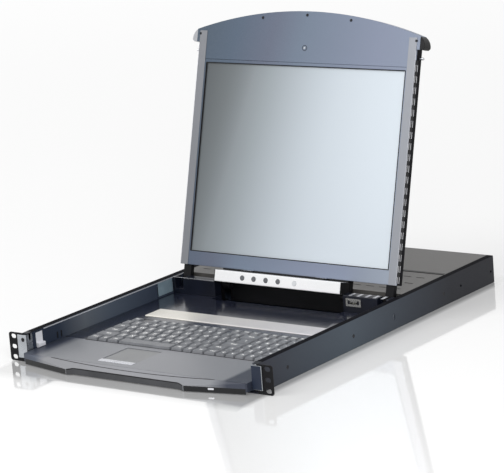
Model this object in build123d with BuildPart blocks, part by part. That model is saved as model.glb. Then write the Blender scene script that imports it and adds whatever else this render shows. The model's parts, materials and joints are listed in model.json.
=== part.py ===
from build123d import *
import math
import os

os.makedirs("parts", exist_ok=True)

# Rack interface. The ears' back faces lie on y = 0 and the chassis stands on z = 0.
rack_panel_width = 482.6
rack_hole_inset = 8.75
rack_hole_pitch = 15.875
rack_unit_land = 12.7
rack_unit_gap = 0.85
ear_reach = 24.6
ear_thickness = 2.0
ear_corner_radius = 4.0
ear_slot_length = 10.0
ear_slot_height = 6.8
ear_leg_length = 34.0
ear_leg_sheet = 1.2

# Chassis: a base pan, two side channels, a rear panel and a rear cover. It fills one
# rack unit less a gap, and is as wide as the rack panel less its two ears.
chassis_width = rack_panel_width - 2 * ear_reach
chassis_height = 2 * rack_hole_pitch + rack_unit_land - rack_unit_gap
chassis_sheet = 1.2
channel_flange = 10.2
bend_radius = 1.0
rear_bay_length = 130.0
cover_lip = 12.0
lid_gap = 0.2

# Telescopic slides, one each side between the channel web and the drawer wall.
slide_height = 23.0
slide_bottom = 8.0
slide_sheet = 1.0
slide_lip = 3.5
slide_step = 0.4
slide_web_gap = 0.9
slide_lip_gap = 1.0
slide_front = 38.0
slide_rear_gap = 5.0

# Drawer pan.
pan_sheet = 1.0
pan_floor = 3.2
pan_side_gap = 0.3
pan_front = -2.0
pan_cover_gap = 0.2
rear_bay_gap = 2.0

# Deck: the pressed tray that holds the keyboard, touchpad and accent strip.
deck_top = 17.5
deck_sheet = 1.5
deck_front = -13.8
deck_gap = 0.6
well_side_gap = 2.5
well_front_gap = 35.2

# Front handle lip.
handle_side_gap = 1.6
handle_facet = 96.0
handle_knee_y = -34.0
handle_step = 11.0
handle_inner_y = -30.0
handle_bottom = 1.0
handle_front_top = 9.5
handle_wall = 2.5
handle_pocket_inset = 24.0
handle_pocket_step = 1.0
handle_tongue_inset = 15.0
handle_tongue_y = 8.0

# Keyboard.
keyboard_side = 41.2
keyboard_units = 19
key_row_pitch = 20.4
key_gap = 1.0
key_low_gap = 5.0
key_front = 81.0
key_travel = 2.5
key_stop_gap = 0.5
key_top = 21.0
key_low_top = 19.6
key_taper = 14.0
key_stem = 4.0
key_stem_gap = 0.3
key_stem_reach = 0.8
key_low_depth = 15.0
keyboard_plate_top = 12.5
keyboard_plate = 1.5
key_skirt = keyboard_plate_top + key_travel + key_stop_gap

# Touchpad and its buttons.
pad_left = -72.0
pad_width = 63.0
pad_front = 8.0
pad_depth = 60.0
pad_top = 16.6
pad_sheet = 1.2
pad_leg_inset = 5.0
pad_edge = 0.4
pad_button_depth = 10.5
pad_button_top = 18.0
pad_button_travel = 0.8
pad_button_stop_gap = 0.1
pad_button_round = 0.6
fit_gap = 0.3

# Accent strip behind the keys.
strip_side = 44.6
strip_front = 220.0
strip_depth = 39.0
strip_height = 1.2
strip_chamfer = 0.8

# Lid hinge. The lid leans back from vertical by lid_lean in the open rest pose.
hinge_y = 372.7
hinge_below_wall = 9.7
hood_length = 130.3
hinge_drop = 47.9
hinge_depth = 6.5
hinge_pin_radius = 3.0
hinge_barrel_radius = 5.8
hinge_running_gap = 0.05
lid_lean = 15.67
outer_arm_inset = 5.3
outer_arm_width = 14.0
inner_arm_gap = 1.5
inner_arm_width = 15.0
arm_front = 3.0
arm_back = 11.0
arm_tongue = 15.0
arm_slot_gap = 1.0
arm_slot_drop = 0.8

# Lid: front frame, arched handle, back shell and the display inside.
lid_side_gap = 0.9
lid_foot = -22.0
lid_thickness = 17.0
bezel_sheet = 2.5
shell_sheet = 1.2
shell_round = 1.5
bezel_side = 16.15
bezel_top = 4.9
screen_border = 3.0
panel_thickness = 9.5
panel_glass = 3.0
panel_can_step = 4.0
seam_below_shell = 34.0
arch_rise = 46.0
arch_shoulder_rise = 12.0
wing_reach = 5.2
wing_drop = 7.0
cap_reach = 9.0
lock_y = 4.8
lock_pin_to_top = 20.0
lock_pin_depth = 8.5
lock_pin_radius = 2.0
lock_pin_clearance = 0.8
lock_pin_chamfer = 0.6
lock_collar_length = 3.0

# Control bar under the screen.
bar_side = 85.3
bar_offset = 22.5
bar_back = -2.0
bar_low = -43.0
bar_high = -25.0
bar_radius = 1.5
bar_lug_inset = 49.0
bar_lug_width = 20.0
bar_lug_front = 6.0
bar_lug_back = 13.0
bar_wall = 2.5
button_radius = 4.0
button_pocket = 5.0
button_pocket_floor = 2.0
button_rear_gap = 1.2
button_round = 0.5
button_proud = 0.8
button_centres = (-65.0, -43.0, -20.0, 3.0)
power_button_x = 34.0

# Corner blocks in front of the hinge.
block_hinge_gap = 22.7
block_depth = 16.0
block_below_top = 0.4
block_wall = 2.0
block_round = 1.5
usb_inset = 19.5
usb_below_top = 10.2
usb_width = 13.1
usb_height = 5.7
usb_wall = 0.4
usb_proud = 0.6
usb_back = 3.0
usb_tongue_inset = 0.8
usb_tongue_z = (0.2, 2.0)

# Release catches and latch plates.
catch_front = 17.0
catch_width = 15.0
catch_low = 17.8
catch_below_wall = 2.2
catch_plate = 2.0
catch_tab = 5.0
catch_tab_height = 6.5
catch_tab_round = 1.5
catch_boss_inset = (4.0, 6.0)
latch_leg = 16.0
latch_sheet = 1.2
latch_overlap = 3.0
latch_wall_z = 14.5

# Rear electronics and connectors.
port_pitch = 32.0
port_side_margin = 20.0
port_console_gap = 45.0
port_z = 22.0
inlet_inset = 39.5
inlet_z = 21.0
board_sheet = 1.6
stud_height = 6.0
stud_radius = 2.5

# Derived places that several pieces share.
chassis_half = chassis_width / 2
web_inner = chassis_half - chassis_sheet
flange_inner = chassis_half - channel_flange
wall_outer = flange_inner - pan_side_gap
wall_inner = wall_outer - pan_sheet
floor_top = pan_floor + pan_sheet
pan_wall_top = chassis_height - chassis_sheet - pan_cover_gap
pan_rear = hinge_y + hood_length
pan_length = pan_rear - pan_front
rear_bay_front = pan_rear + rear_bay_gap
chassis_length = rear_bay_front + rear_bay_length
panel_front = chassis_length - chassis_sheet
slide_rear = pan_rear - slide_rear_gap
slide_length = slide_rear - slide_front
hinge_z = pan_wall_top - hinge_below_wall
block_front = hinge_y - block_hinge_gap
block_rear = block_front + block_depth
block_top = chassis_height - block_below_top
deck_half = wall_inner - deck_gap
keyboard_half = deck_half - keyboard_side
key_unit = 2 * keyboard_half / keyboard_units
lid_half_width = wall_inner - lid_side_gap
bar_half_width = lid_half_width - bar_side
well_front = hinge_y - well_front_gap
well_half_width = bar_half_width + well_side_gap
wing_half_width = lid_half_width + wing_reach
cap_half_width = wing_half_width + cap_reach
outer_arm = (lid_half_width - outer_arm_inset - outer_arm_width, lid_half_width - outer_arm_inset)
inner_arm = (well_half_width - inner_arm_gap - inner_arm_width, well_half_width - inner_arm_gap)
lock_pin_height = hinge_y - hinge_drop - lock_y
shell_top = lock_pin_height + lock_pin_to_top
handle_seam = shell_top - seam_below_shell
arch_shoulder = shell_top + arch_shoulder_rise
arch_top = shell_top + arch_rise
wing_bottom = shell_top - wing_drop
screen_width = 2 * (lid_half_width - bezel_side)
screen_height = handle_seam - bezel_top
lean_sine = math.sin(math.radians(lid_lean))
lean_cosine = math.cos(math.radians(lid_lean))
sides = ((-1, "left"), (1, "right"))
cut_margin = 1.0

# The lid's own plane: its origin is the middle of the screen's lower edge, its x runs
# to the right, its y up the lid and its z out of the front.
lid_front = Plane(
    origin=(
        0,
        hinge_y + hinge_drop * lean_sine - hinge_depth * lean_cosine,
        hinge_z + hinge_drop * lean_cosine + hinge_depth * lean_sine,
    ),
    x_dir=(1, 0, 0),
    z_dir=(0, -lean_cosine, lean_sine),
)


def lid_section(x):
    """A plane across the lid at x, with local x up the lid and local y to its back."""
    return Plane(
        origin=(x, lid_front.origin.Y, lid_front.origin.Z),
        x_dir=lid_front.y_dir,
        z_dir=(-1, 0, 0),
    )


def block(x_range, y_range, z_range, mode=Mode.ADD):
    """A box between two corners, in the block that is open."""
    middle = [(low + high) / 2 for low, high in (x_range, y_range, z_range)]
    with Locations(tuple(middle)):
        Box(
            abs(x_range[1] - x_range[0]),
            abs(y_range[1] - y_range[0]),
            abs(z_range[1] - z_range[0]),
            mode=mode,
        )


def sided(side, near, far):
    """An x range from near to far on one side of the middle."""
    return tuple(sorted((side * near, side * far)))


# Chassis base pan with studs for the main board and a front lip between the ears.
supply_gap = 9.5
supply_width = 66.0
supply_x = (supply_gap - web_inner, supply_gap + supply_width - web_inner)
board_supply_gap = 12.0
board_side_gap = 15.5
board_front_gap = 15.0
board_rear_gap = 18.0
board_x = (supply_x[1] + board_supply_gap, web_inner - board_side_gap)
board_y = (rear_bay_front + board_front_gap, chassis_length - board_rear_gap)
stud_inset = 6.0
board_stud_points = [
    (x, y)
    for x in (board_x[0] + stud_inset, board_x[1] - stud_inset)
    for y in (board_y[0] + stud_inset, board_y[1] - stud_inset)
]
pan_lip_gap = 0.1
pan_lip_half = web_inner - ear_leg_sheet - pan_lip_gap
with BuildPart() as base_pan:
    block((-web_inner, web_inner), (0, chassis_length), (0, chassis_sheet))
    block((-pan_lip_half, pan_lip_half), (-ear_thickness, 0), (0, chassis_sheet))
    with BuildSketch(Plane.XY.offset(chassis_sheet)):
        with Locations(*board_stud_points):
            Circle(stud_radius)
    extrude(amount=stud_height)
base_pan.part.label = "base_pan"
export_step(base_pan.part, "parts/base_pan.step")

# Side channels: screw points are (y, z) on the outer wall.
screw_z = 19.5
slide_screw_inset = 30.0
slide_screw_step = 167.0
slide_screw_rear = 13.0
first_screw_y = slide_front + slide_screw_inset
slide_screw_points = [
    (y, screw_z)
    for y in (first_screw_y, first_screw_y + slide_screw_step, slide_rear - slide_screw_rear)
]
bracket_hole_inset = 9.0
bracket_hole_spacing = 91.0
bracket_hole_y = chassis_length - bracket_hole_inset
bracket_hole_points = [(bracket_hole_y - bracket_hole_spacing, screw_z), (bracket_hole_y, screw_z)]
screw_radius = 2.0
screw_hole_radius = 2.1
screw_head_radius = 3.2
screw_head_depth = 1.1
relief_slot_gap = 27.7
relief_slot_y = hinge_y - relief_slot_gap
relief_slot = (9.0, 3.6)
for side, hand in sides:
    with BuildPart() as channel:
        with BuildSketch(Plane.XZ):
            with BuildLine():
                Polyline(
                    (side * chassis_half, 0),
                    (side * chassis_half, chassis_height),
                    (side * flange_inner, chassis_height),
                    (side * flange_inner, chassis_height - chassis_sheet),
                    (side * web_inner, chassis_height - chassis_sheet),
                    (side * web_inner, 2 * chassis_sheet),
                    (side * flange_inner, 2 * chassis_sheet),
                    (side * flange_inner, chassis_sheet),
                    (side * web_inner, chassis_sheet),
                    (side * web_inner, 0),
                    close=True,
                )
            make_face()
        extrude(amount=-panel_front)
        block(
            sided(side, web_inner, chassis_half),
            (panel_front, chassis_length),
            (0, chassis_height),
        )
        outer_edges = channel.edges().filter_by(Axis.Y).group_by(Axis.X)[-1 if side > 0 else 0]
        fillet(outer_edges, bend_radius)
        with BuildSketch(Plane.YZ.offset(side * chassis_half)):
            with Locations(*bracket_hole_points):
                Circle(screw_hole_radius)
            with Locations(*slide_screw_points):
                Circle(screw_hole_radius)
            with Locations((relief_slot_y, screw_z)):
                SlotOverall(relief_slot[0], relief_slot[1], rotation=90)
        extrude(amount=-side * 2 * chassis_sheet, mode=Mode.SUBTRACT)
        with BuildSketch(Plane.YZ.offset(side * chassis_half)):
            with Locations(*slide_screw_points):
                Circle(screw_head_radius)
        extrude(amount=-side * screw_head_depth, taper=45, mode=Mode.SUBTRACT)
    channel.part.label = "side_channel_" + hand
    export_step(channel.part, "parts/side_channel_" + hand + ".step")

# Rack ears: a slotted front plate with a leg against the inside of the channel.
ear_inner = web_inner - ear_leg_sheet
ear_outer = rack_panel_width / 2
ear_slot_points = [
    (ear_outer - rack_hole_inset, chassis_height / 2 + step * rack_hole_pitch)
    for step in (-1, 0, 1)
]
for side, hand in sides:
    with BuildPart() as ear:
        with BuildSketch(Plane.XZ) as ear_face:
            with Locations((side * (ear_inner + ear_outer) / 2, chassis_height / 2)):
                Rectangle(ear_outer - ear_inner, chassis_height)
            outer_corners = ear_face.vertices().group_by(Axis.X)[-1 if side > 0 else 0]
            fillet(outer_corners, ear_corner_radius)
            with Locations(*[(side * x, z) for x, z in ear_slot_points]):
                SlotOverall(ear_slot_length, ear_slot_height, mode=Mode.SUBTRACT)
        extrude(amount=ear_thickness)
        block(
            sided(side, ear_inner, web_inner),
            (0, ear_leg_length),
            (2 * chassis_sheet, chassis_height - chassis_sheet),
        )
    ear.part.label = "rack_ear_" + hand
    export_step(ear.part, "parts/rack_ear_" + hand + ".step")

# Rear panel with its connector cut-outs.
port_body = (17.5, 11.0)
inlet_x = inlet_inset - web_inner
console_inlet_gap = 51.0
console_spacing = 35.0
first_console_x = inlet_x + console_inlet_gap
console_centres = (first_console_x, first_console_x + console_spacing)
port_first_x = console_centres[1] + port_console_gap
port_room = web_inner - port_side_margin - port_first_x
port_centres = [port_first_x + port_pitch * index for index in range(1 + int(port_room / port_pitch))]
inlet_size = (50.0, 28.0)
inlet_body = (46.0, 24.0)
earth_stud_inset = 10.5
earth_stud_x = earth_stud_inset - web_inner
earth_stud_z = 12.0
with BuildPart() as rear_panel:
    block(
        (-web_inner, web_inner),
        (panel_front, chassis_length),
        (chassis_sheet, chassis_height),
    )
    with BuildSketch(Plane.XZ.offset(-chassis_length)):
        with Locations(*[(x, port_z) for x in port_centres + list(console_centres)]):
            Rectangle(port_body[0] + 2 * fit_gap, port_body[1] + 2 * fit_gap)
        with Locations((inlet_x, inlet_z)):
            Rectangle(inlet_body[0] + 2 * fit_gap, inlet_body[1] + 2 * fit_gap)
        with Locations((earth_stud_x, earth_stud_z)):
            Circle(screw_hole_radius)
    extrude(amount=2 * chassis_sheet, both=True, mode=Mode.SUBTRACT)
rear_panel.part.label = "rear_panel"
export_step(rear_panel.part, "parts/rear_panel.step")

# Rear top cover: a shallow lid with turned-down front and side lips.
cover_half = flange_inner - lid_gap
with BuildPart() as rear_top_cover:
    block(
        (-cover_half, cover_half),
        (rear_bay_front, panel_front - lid_gap),
        (chassis_height - cover_lip, chassis_height),
    )
    block(
        (chassis_sheet - cover_half, cover_half - chassis_sheet),
        (rear_bay_front + chassis_sheet, panel_front),
        (chassis_height - cover_lip, chassis_height - chassis_sheet),
        mode=Mode.SUBTRACT,
    )
rear_top_cover.part.label = "rear_top_cover"
export_step(rear_top_cover.part, "parts/rear_top_cover.step")

# Slides. Each member is a channel that nests inside the next, with a small step
# between their lips. The outer one opens inwards and the inner one outwards.
slide_top = slide_bottom + slide_height
outer_web = (web_inner - slide_sheet, web_inner)
outer_lip = (outer_web[0] - slide_lip, outer_web[0])
middle_web = (outer_web[0] - slide_web_gap - slide_sheet, outer_web[0] - slide_web_gap)
middle_lip = (middle_web[0] - slide_lip, middle_web[0])
inner_web = (wall_outer, wall_outer + slide_sheet)
inner_lip = (inner_web[1], middle_web[0] - slide_lip_gap)
member_inset = slide_sheet + slide_step
window_length = 42.0
window_hinge_gap = 20.7
window_low = 20.0
window_below_wall = 4.2
window_y = (hinge_y - window_hinge_gap - window_length, hinge_y - window_hinge_gap)
window_z = (window_low, pan_wall_top - window_below_wall)
window_backing = 3.0
for side, hand in sides:
    outer_points = [
        (outer_lip[0], slide_bottom),
        (outer_web[1], slide_bottom),
        (outer_web[1], slide_top),
        (outer_lip[0], slide_top),
        (outer_lip[0], slide_top - slide_sheet),
        (outer_web[0], slide_top - slide_sheet),
        (outer_web[0], slide_bottom + slide_sheet),
        (outer_lip[0], slide_bottom + slide_sheet),
    ]
    with BuildPart() as slide_outer:
        with BuildSketch(Plane.XZ.offset(-slide_front)):
            with BuildLine():
                Polyline(*[(side * x, z) for x, z in outer_points], close=True)
            make_face()
        extrude(amount=-slide_length)
        with BuildSketch(Plane.YZ.offset(side * outer_web[1])):
            with Locations(*slide_screw_points):
                Circle(screw_hole_radius)
        extrude(amount=-side * 2 * slide_sheet, mode=Mode.SUBTRACT)
    slide_outer.part.label = "slide_outer_" + hand
    export_step(slide_outer.part, "parts/slide_outer_" + hand + ".step")

    middle_low = slide_bottom + member_inset
    middle_high = slide_top - member_inset
    middle_points = [
        (middle_lip[0], middle_low),
        (middle_web[1], middle_low),
        (middle_web[1], middle_high),
        (middle_lip[0], middle_high),
        (middle_lip[0], middle_high - slide_sheet),
        (middle_web[0], middle_high - slide_sheet),
        (middle_web[0], middle_low + slide_sheet),
        (middle_lip[0], middle_low + slide_sheet),
    ]
    with BuildPart() as slide_middle:
        with BuildSketch(Plane.XZ.offset(-slide_front)):
            with BuildLine():
                Polyline(*[(side * x, z) for x, z in middle_points], close=True)
            make_face()
        extrude(amount=-slide_length)
    slide_middle.part.label = "slide_middle_" + hand
    export_step(slide_middle.part, "parts/slide_middle_" + hand + ".step")

    inner_low = middle_low + member_inset
    inner_high = middle_high - member_inset
    inner_points = [
        (inner_web[0], inner_low),
        (inner_lip[1], inner_low),
        (inner_lip[1], inner_low + slide_sheet),
        (inner_web[1], inner_low + slide_sheet),
        (inner_web[1], inner_high - slide_sheet),
        (inner_lip[1], inner_high - slide_sheet),
        (inner_lip[1], inner_high),
        (inner_web[0], inner_high),
    ]
    with BuildPart() as slide_inner:
        with BuildSketch(Plane.XZ.offset(-slide_front)):
            with BuildLine():
                Polyline(*[(side * x, z) for x, z in inner_points], close=True)
            make_face()
        extrude(amount=-slide_length)
        block(
            sided(side, inner_web[0], inner_web[1]),
            (window_y[0] - window_backing, window_y[1] + window_backing),
            (inner_low, window_z[1] + window_backing),
        )
    slide_inner.part.label = "slide_inner_" + hand
    export_step(slide_inner.part, "parts/slide_inner_" + hand + ".step")

# Drawer pan: floor, side walls and rear wall, with openings for the bar's swing,
# the catches, the latch plates and the slide tabs.
bar_well_reach = (25.7, 19.3)
bar_well_y = (hinge_y - bar_well_reach[0], hinge_y + bar_well_reach[1])
catch_high = pan_wall_top - catch_below_wall
catch_rear = catch_front + catch_width
latch_rear = pan_front + latch_leg
with BuildPart() as drawer_pan:
    with BuildSketch(Plane.XZ.offset(-pan_front)):
        with BuildLine():
            Polyline(
                (-wall_outer, pan_wall_top),
                (-wall_outer, pan_floor),
                (wall_outer, pan_floor),
                (wall_outer, pan_wall_top),
                (wall_inner, pan_wall_top),
                (wall_inner, floor_top),
                (-wall_inner, floor_top),
                (-wall_inner, pan_wall_top),
                close=True,
            )
        make_face()
    extrude(amount=-pan_length)
    block(
        (-wall_inner, wall_inner),
        (pan_rear - pan_sheet, pan_rear),
        (floor_top, pan_wall_top),
    )
    block(
        (-well_half_width, well_half_width),
        bar_well_y,
        (0, floor_top + cut_margin),
        mode=Mode.SUBTRACT,
    )
    for side, hand in sides:
        wall_cut = sided(side, wall_inner - cut_margin, wall_outer + cut_margin)
        block(
            wall_cut,
            (catch_front - fit_gap, catch_rear + fit_gap),
            (catch_low - fit_gap, catch_high + fit_gap),
            mode=Mode.SUBTRACT,
        )
        block(
            wall_cut,
            (pan_front - cut_margin, latch_rear - latch_overlap),
            (latch_wall_z, chassis_height),
            mode=Mode.SUBTRACT,
        )
        block(wall_cut, window_y, window_z, mode=Mode.SUBTRACT)
drawer_pan.part.label = "drawer_pan"
export_step(drawer_pan.part, "parts/drawer_pan.step")

# Latch plates: zinc angles at the front of the drawer walls that take the lock pins.
lock_z = hinge_z + lock_pin_depth - hinge_depth
latch_low = 6.0
latch_below_wall = 0.7
latch_top = pan_wall_top - latch_below_wall
latch_tab = 7.6
with BuildPart() as latch_plates:
    for side, hand in sides:
        with BuildSketch(Plane.XY.offset(latch_low)):
            with BuildLine():
                Polyline(
                    (side * wall_outer, pan_front),
                    (side * (wall_outer + latch_tab), pan_front),
                    (side * (wall_outer + latch_tab), pan_front + latch_sheet),
                    (side * (wall_outer + latch_sheet), pan_front + latch_sheet),
                    (side * (wall_outer + latch_sheet), latch_rear),
                    (side * wall_outer, latch_rear),
                    close=True,
                )
            make_face()
        extrude(amount=latch_top - latch_low)
        with BuildSketch(Plane.YZ.offset(side * wall_outer)):
            with Locations((lock_y, lock_z)):
                Circle(lock_pin_radius + fit_gap)
            with Locations((lock_y, (lock_z + chassis_height) / 2)):
                Rectangle(2 * (lock_pin_radius + fit_gap), chassis_height - lock_z)
        extrude(amount=side * 2 * latch_sheet, mode=Mode.SUBTRACT)
latch_plates.part.label = "latch_plates"
export_step(latch_plates.part, "parts/latch_plates.step")

# Release catches: a white moulding that slides outwards in its window.
for side, hand in sides:
    with BuildPart() as catch:
        block(
            sided(side, wall_inner, wall_inner + catch_plate),
            (catch_front, catch_rear),
            (catch_low, catch_high),
        )
        block(
            sided(side, wall_inner - catch_tab, wall_inner),
            (catch_front, catch_rear),
            (catch_low, catch_low + catch_tab_height),
        )
        block(
            sided(side, wall_inner + catch_plate, wall_inner + 2 * catch_plate),
            (catch_front + catch_boss_inset[0], catch_rear - catch_boss_inset[0]),
            (catch_low + catch_boss_inset[1], catch_high - catch_boss_inset[1]),
        )
        tab_edges = catch.edges().filter_by(Axis.Y).group_by(Axis.X)[0 if side > 0 else -1]
        fillet(tab_edges, catch_tab_round)
    catch.part.label = "release_catch_" + hand
    export_step(catch.part, "parts/release_catch_" + hand + ".step")

# Front handle: a moulded lip with angled facets, sloping down from the deck.
handle_corner_x = deck_half - handle_side_gap
handle_knee_x = handle_corner_x - handle_facet
handle_inner_x = handle_knee_x - handle_step
with BuildPart() as front_handle:
    with BuildSketch(Plane.XY.offset(handle_bottom)):
        with BuildLine():
            Polyline(
                (-handle_corner_x, deck_front - fit_gap),
                (-handle_knee_x, handle_knee_y),
                (-handle_inner_x, handle_inner_y),
                (handle_inner_x, handle_inner_y),
                (handle_knee_x, handle_knee_y),
                (handle_corner_x, deck_front - fit_gap),
                close=True,
            )
        make_face()
    extrude(amount=deck_top - handle_bottom)
    with BuildSketch(Plane.YZ):
        with BuildLine():
            Polyline(
                (deck_front - fit_gap, deck_top),
                (handle_knee_y, handle_front_top),
                (handle_knee_y - cut_margin, handle_front_top),
                (handle_knee_y - cut_margin, deck_top + cut_margin),
                (deck_front - fit_gap, deck_top + cut_margin),
                close=True,
            )
        make_face()
    extrude(amount=handle_corner_x + cut_margin, both=True, mode=Mode.SUBTRACT)
    with BuildSketch(Plane.XY.offset(handle_bottom)):
        with BuildLine():
            Polyline(
                (-handle_corner_x + handle_pocket_inset, deck_front - handle_wall),
                (-handle_knee_x + handle_pocket_step, handle_knee_y + handle_wall),
                (-handle_inner_x + handle_pocket_step, handle_inner_y + handle_wall),
                (handle_inner_x - handle_pocket_step, handle_inner_y + handle_wall),
                (handle_knee_x - handle_pocket_step, handle_knee_y + handle_wall),
                (handle_corner_x - handle_pocket_inset, deck_front - handle_wall),
                close=True,
            )
        make_face()
    extrude(amount=handle_front_top - handle_wall - handle_bottom, mode=Mode.SUBTRACT)
    block(
        (-handle_corner_x + handle_tongue_inset, handle_corner_x - handle_tongue_inset),
        (deck_front - handle_wall, handle_tongue_y),
        (floor_top, floor_top + handle_wall),
    )
front_handle.part.label = "front_handle"
export_step(front_handle.part, "parts/front_handle.step")

# Top deck: a hollow pressing with the keyboard opening, the touchpad opening and
# two wings that run back under the corner blocks.
key_rows = 5
keyboard_depth = key_rows * key_row_pitch + key_low_gap + key_low_depth
opening_margin = 1.2
with BuildPart() as top_deck:
    with BuildSketch(Plane.XY.offset(floor_top)) as deck_outline:
        with BuildLine():
            Polyline(
                (-deck_half, deck_front),
                (deck_half, deck_front),
                (deck_half, block_rear),
                (well_half_width, block_rear),
                (well_half_width, well_front),
                (-well_half_width, well_front),
                (-well_half_width, block_rear),
                (-deck_half, block_rear),
                close=True,
            )
        make_face()
    extrude(amount=deck_top - floor_top)
    with BuildSketch(Plane.XY.offset(floor_top)):
        add(deck_outline.sketch_local)
        offset(amount=-deck_sheet, kind=Kind.INTERSECTION, mode=Mode.REPLACE)
    extrude(amount=deck_top - deck_sheet - floor_top, mode=Mode.SUBTRACT)
    block(
        (-keyboard_half - opening_margin, keyboard_half + opening_margin),
        (key_front - opening_margin, key_front + keyboard_depth + opening_margin),
        (floor_top, deck_top + cut_margin),
        mode=Mode.SUBTRACT,
    )
    block(
        (pad_left - fit_gap, pad_left + pad_width + fit_gap),
        (pad_front - pad_button_depth, pad_front + pad_depth + fit_gap),
        (deck_top - 2 * deck_sheet, deck_top + cut_margin),
        mode=Mode.SUBTRACT,
    )
    tongue_slot_half = handle_corner_x - handle_tongue_inset + cut_margin
    block(
        (-tongue_slot_half, tongue_slot_half),
        (deck_front - cut_margin, deck_front + 2 * deck_sheet),
        (floor_top, floor_top + handle_wall + fit_gap),
        mode=Mode.SUBTRACT,
    )
top_deck.part.label = "top_deck"
export_step(top_deck.part, "parts/top_deck.step")

# Keys. Each row is a list of widths in key units, with negative widths for gaps.
row_function = [1, -1] + [1] * 4 + [-0.5] + [1] * 4 + [-0.5] + [1] * 8
row_number = [1] * 13 + [2] + [1] * 4
row_upper = [1.5] + [1] * 12 + [1.5] + [1] * 4
row_home = [1.75] + [1] * 11 + [2.25] + [1] * 4
row_lower = [2.25] + [1] * 10 + [1.75] + [1] * 5
row_bottom = [1.25, 1, 1.25, -5.75, 1.25, 1, 1.25, 1.25] + [1] * 5
space_units = (3.5, 9.25)
row_layouts = [
    ("keys_bottom_row", row_bottom),
    ("keys_lower_row", row_lower),
    ("keys_home_row", row_home),
    ("keys_upper_row", row_upper),
    ("keys_number_row", row_number),
]


def row_spans(widths):
    """The left and right edges of each key in a row, in millimetres."""
    spans = []
    place = -keyboard_half
    for width in widths:
        step = abs(width) * key_unit
        if width > 0:
            spans.append((place + key_gap / 2, place + step - key_gap / 2))
        place += step
    return spans


key_fields = []
for index, (row_name, widths) in enumerate(row_layouts):
    row_y = key_front + index * key_row_pitch
    row_depth = (row_y + key_gap / 2, row_y + key_row_pitch - key_gap / 2)
    key_fields.append((row_name, row_spans(widths), row_depth, key_top))
function_y = key_front + key_rows * key_row_pitch + key_low_gap
function_depth = (function_y, function_y + key_low_depth)
key_fields.append(("keys_function_row", row_spans(row_function), function_depth, key_low_top))
space_left = -keyboard_half + space_units[0] * key_unit + key_gap / 2
space_right = -keyboard_half + space_units[1] * key_unit - key_gap / 2
space_depth = (key_front + key_gap / 2, key_front + key_row_pitch - key_gap / 2)
key_fields.append(("space_bar", [(space_left, space_right)], space_depth, key_top))

stem_bottom = keyboard_plate_top - keyboard_plate - key_stem_reach
stem_points = []
for row_name, spans, depth_range, top in key_fields:
    row_middle = (depth_range[0] + depth_range[1]) / 2
    row_depth = depth_range[1] - depth_range[0]
    centres = [((left + right) / 2, row_middle) for left, right in spans]
    stem_points += centres
    with BuildPart() as key_row:
        with BuildSketch(Plane.XY.offset(key_skirt)):
            for (left, right), centre in zip(spans, centres):
                with Locations(centre):
                    Rectangle(right - left, row_depth)
        extrude(amount=top - key_skirt, taper=key_taper)
        with BuildSketch(Plane.XY.offset(stem_bottom)):
            with Locations(*centres):
                Rectangle(key_stem, key_stem)
        extrude(amount=key_skirt - stem_bottom)
    key_row.part.label = row_name
    export_step(key_row.part, "parts/" + row_name + ".step")

# Keyboard base: a plate on a low wall, with a guide hole for each key stem.
keyboard_rear = key_front + keyboard_depth
with BuildPart() as keyboard_base:
    block(
        (-keyboard_half, keyboard_half),
        (key_front, keyboard_rear),
        (floor_top, keyboard_plate_top),
    )
    block(
        (-keyboard_half + keyboard_plate, keyboard_half - keyboard_plate),
        (key_front + keyboard_plate, keyboard_rear - keyboard_plate),
        (floor_top, keyboard_plate_top - keyboard_plate),
        mode=Mode.SUBTRACT,
    )
    with BuildSketch(Plane.XY.offset(keyboard_plate_top)):
        with Locations(*stem_points):
            Rectangle(key_stem + 2 * key_stem_gap, key_stem + 2 * key_stem_gap)
    extrude(amount=-2 * keyboard_plate, mode=Mode.SUBTRACT)
keyboard_base.part.label = "keyboard_base"
export_step(keyboard_base.part, "parts/keyboard_base.step")

# Touchpad: a shallow tray with the pad plate, standing on the pan by four legs.
button_floor = deck_top - 2 * deck_sheet - pad_sheet
with BuildPart() as touchpad:
    block(
        (pad_left, pad_left + pad_width),
        (pad_front + fit_gap, pad_front + pad_depth),
        (button_floor, pad_top),
    )
    block(
        (pad_left, pad_left + pad_width),
        (pad_front - pad_button_depth + fit_gap, pad_front + pad_depth),
        (button_floor - pad_sheet, button_floor),
    )
    with BuildSketch(Plane.XY.offset(floor_top)):
        with Locations((pad_left + pad_width / 2, pad_front + pad_depth / 2)):
            with GridLocations(pad_width - 2 * pad_leg_inset, pad_depth - 2 * pad_leg_inset, 2, 2):
                Circle(stud_radius)
    extrude(amount=button_floor - pad_sheet - floor_top)
    pad_edges = touchpad.edges().group_by(Axis.Z)[-1]
    chamfer(pad_edges, pad_edge)
touchpad.part.label = "touchpad"
export_step(touchpad.part, "parts/touchpad.step")

pad_middle = pad_left + pad_width / 2
for side, hand in sides:
    with BuildPart() as pad_button:
        near = pad_middle + side * fit_gap
        far = pad_middle + side * (pad_width / 2)
        block(
            tuple(sorted((near, far))),
            (pad_front - pad_button_depth + fit_gap, pad_front - fit_gap),
            (button_floor + pad_button_travel + pad_button_stop_gap, pad_button_top),
        )
        fillet(pad_button.edges().group_by(Axis.Z)[-1], pad_button_round)
    pad_button.part.label = "touchpad_button_" + hand
    export_step(pad_button.part, "parts/touchpad_button_" + hand + ".step")

# Accent strip with a chamfered edge.
strip_half_width = deck_half - strip_side
with BuildPart() as accent_strip:
    block(
        (-strip_half_width, strip_half_width),
        (strip_front, strip_front + strip_depth),
        (deck_top, deck_top + strip_height),
    )
    chamfer(accent_strip.edges().group_by(Axis.Z)[-1], strip_chamfer)
accent_strip.part.label = "accent_strip"
export_step(accent_strip.part, "parts/accent_strip.step")

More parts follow.
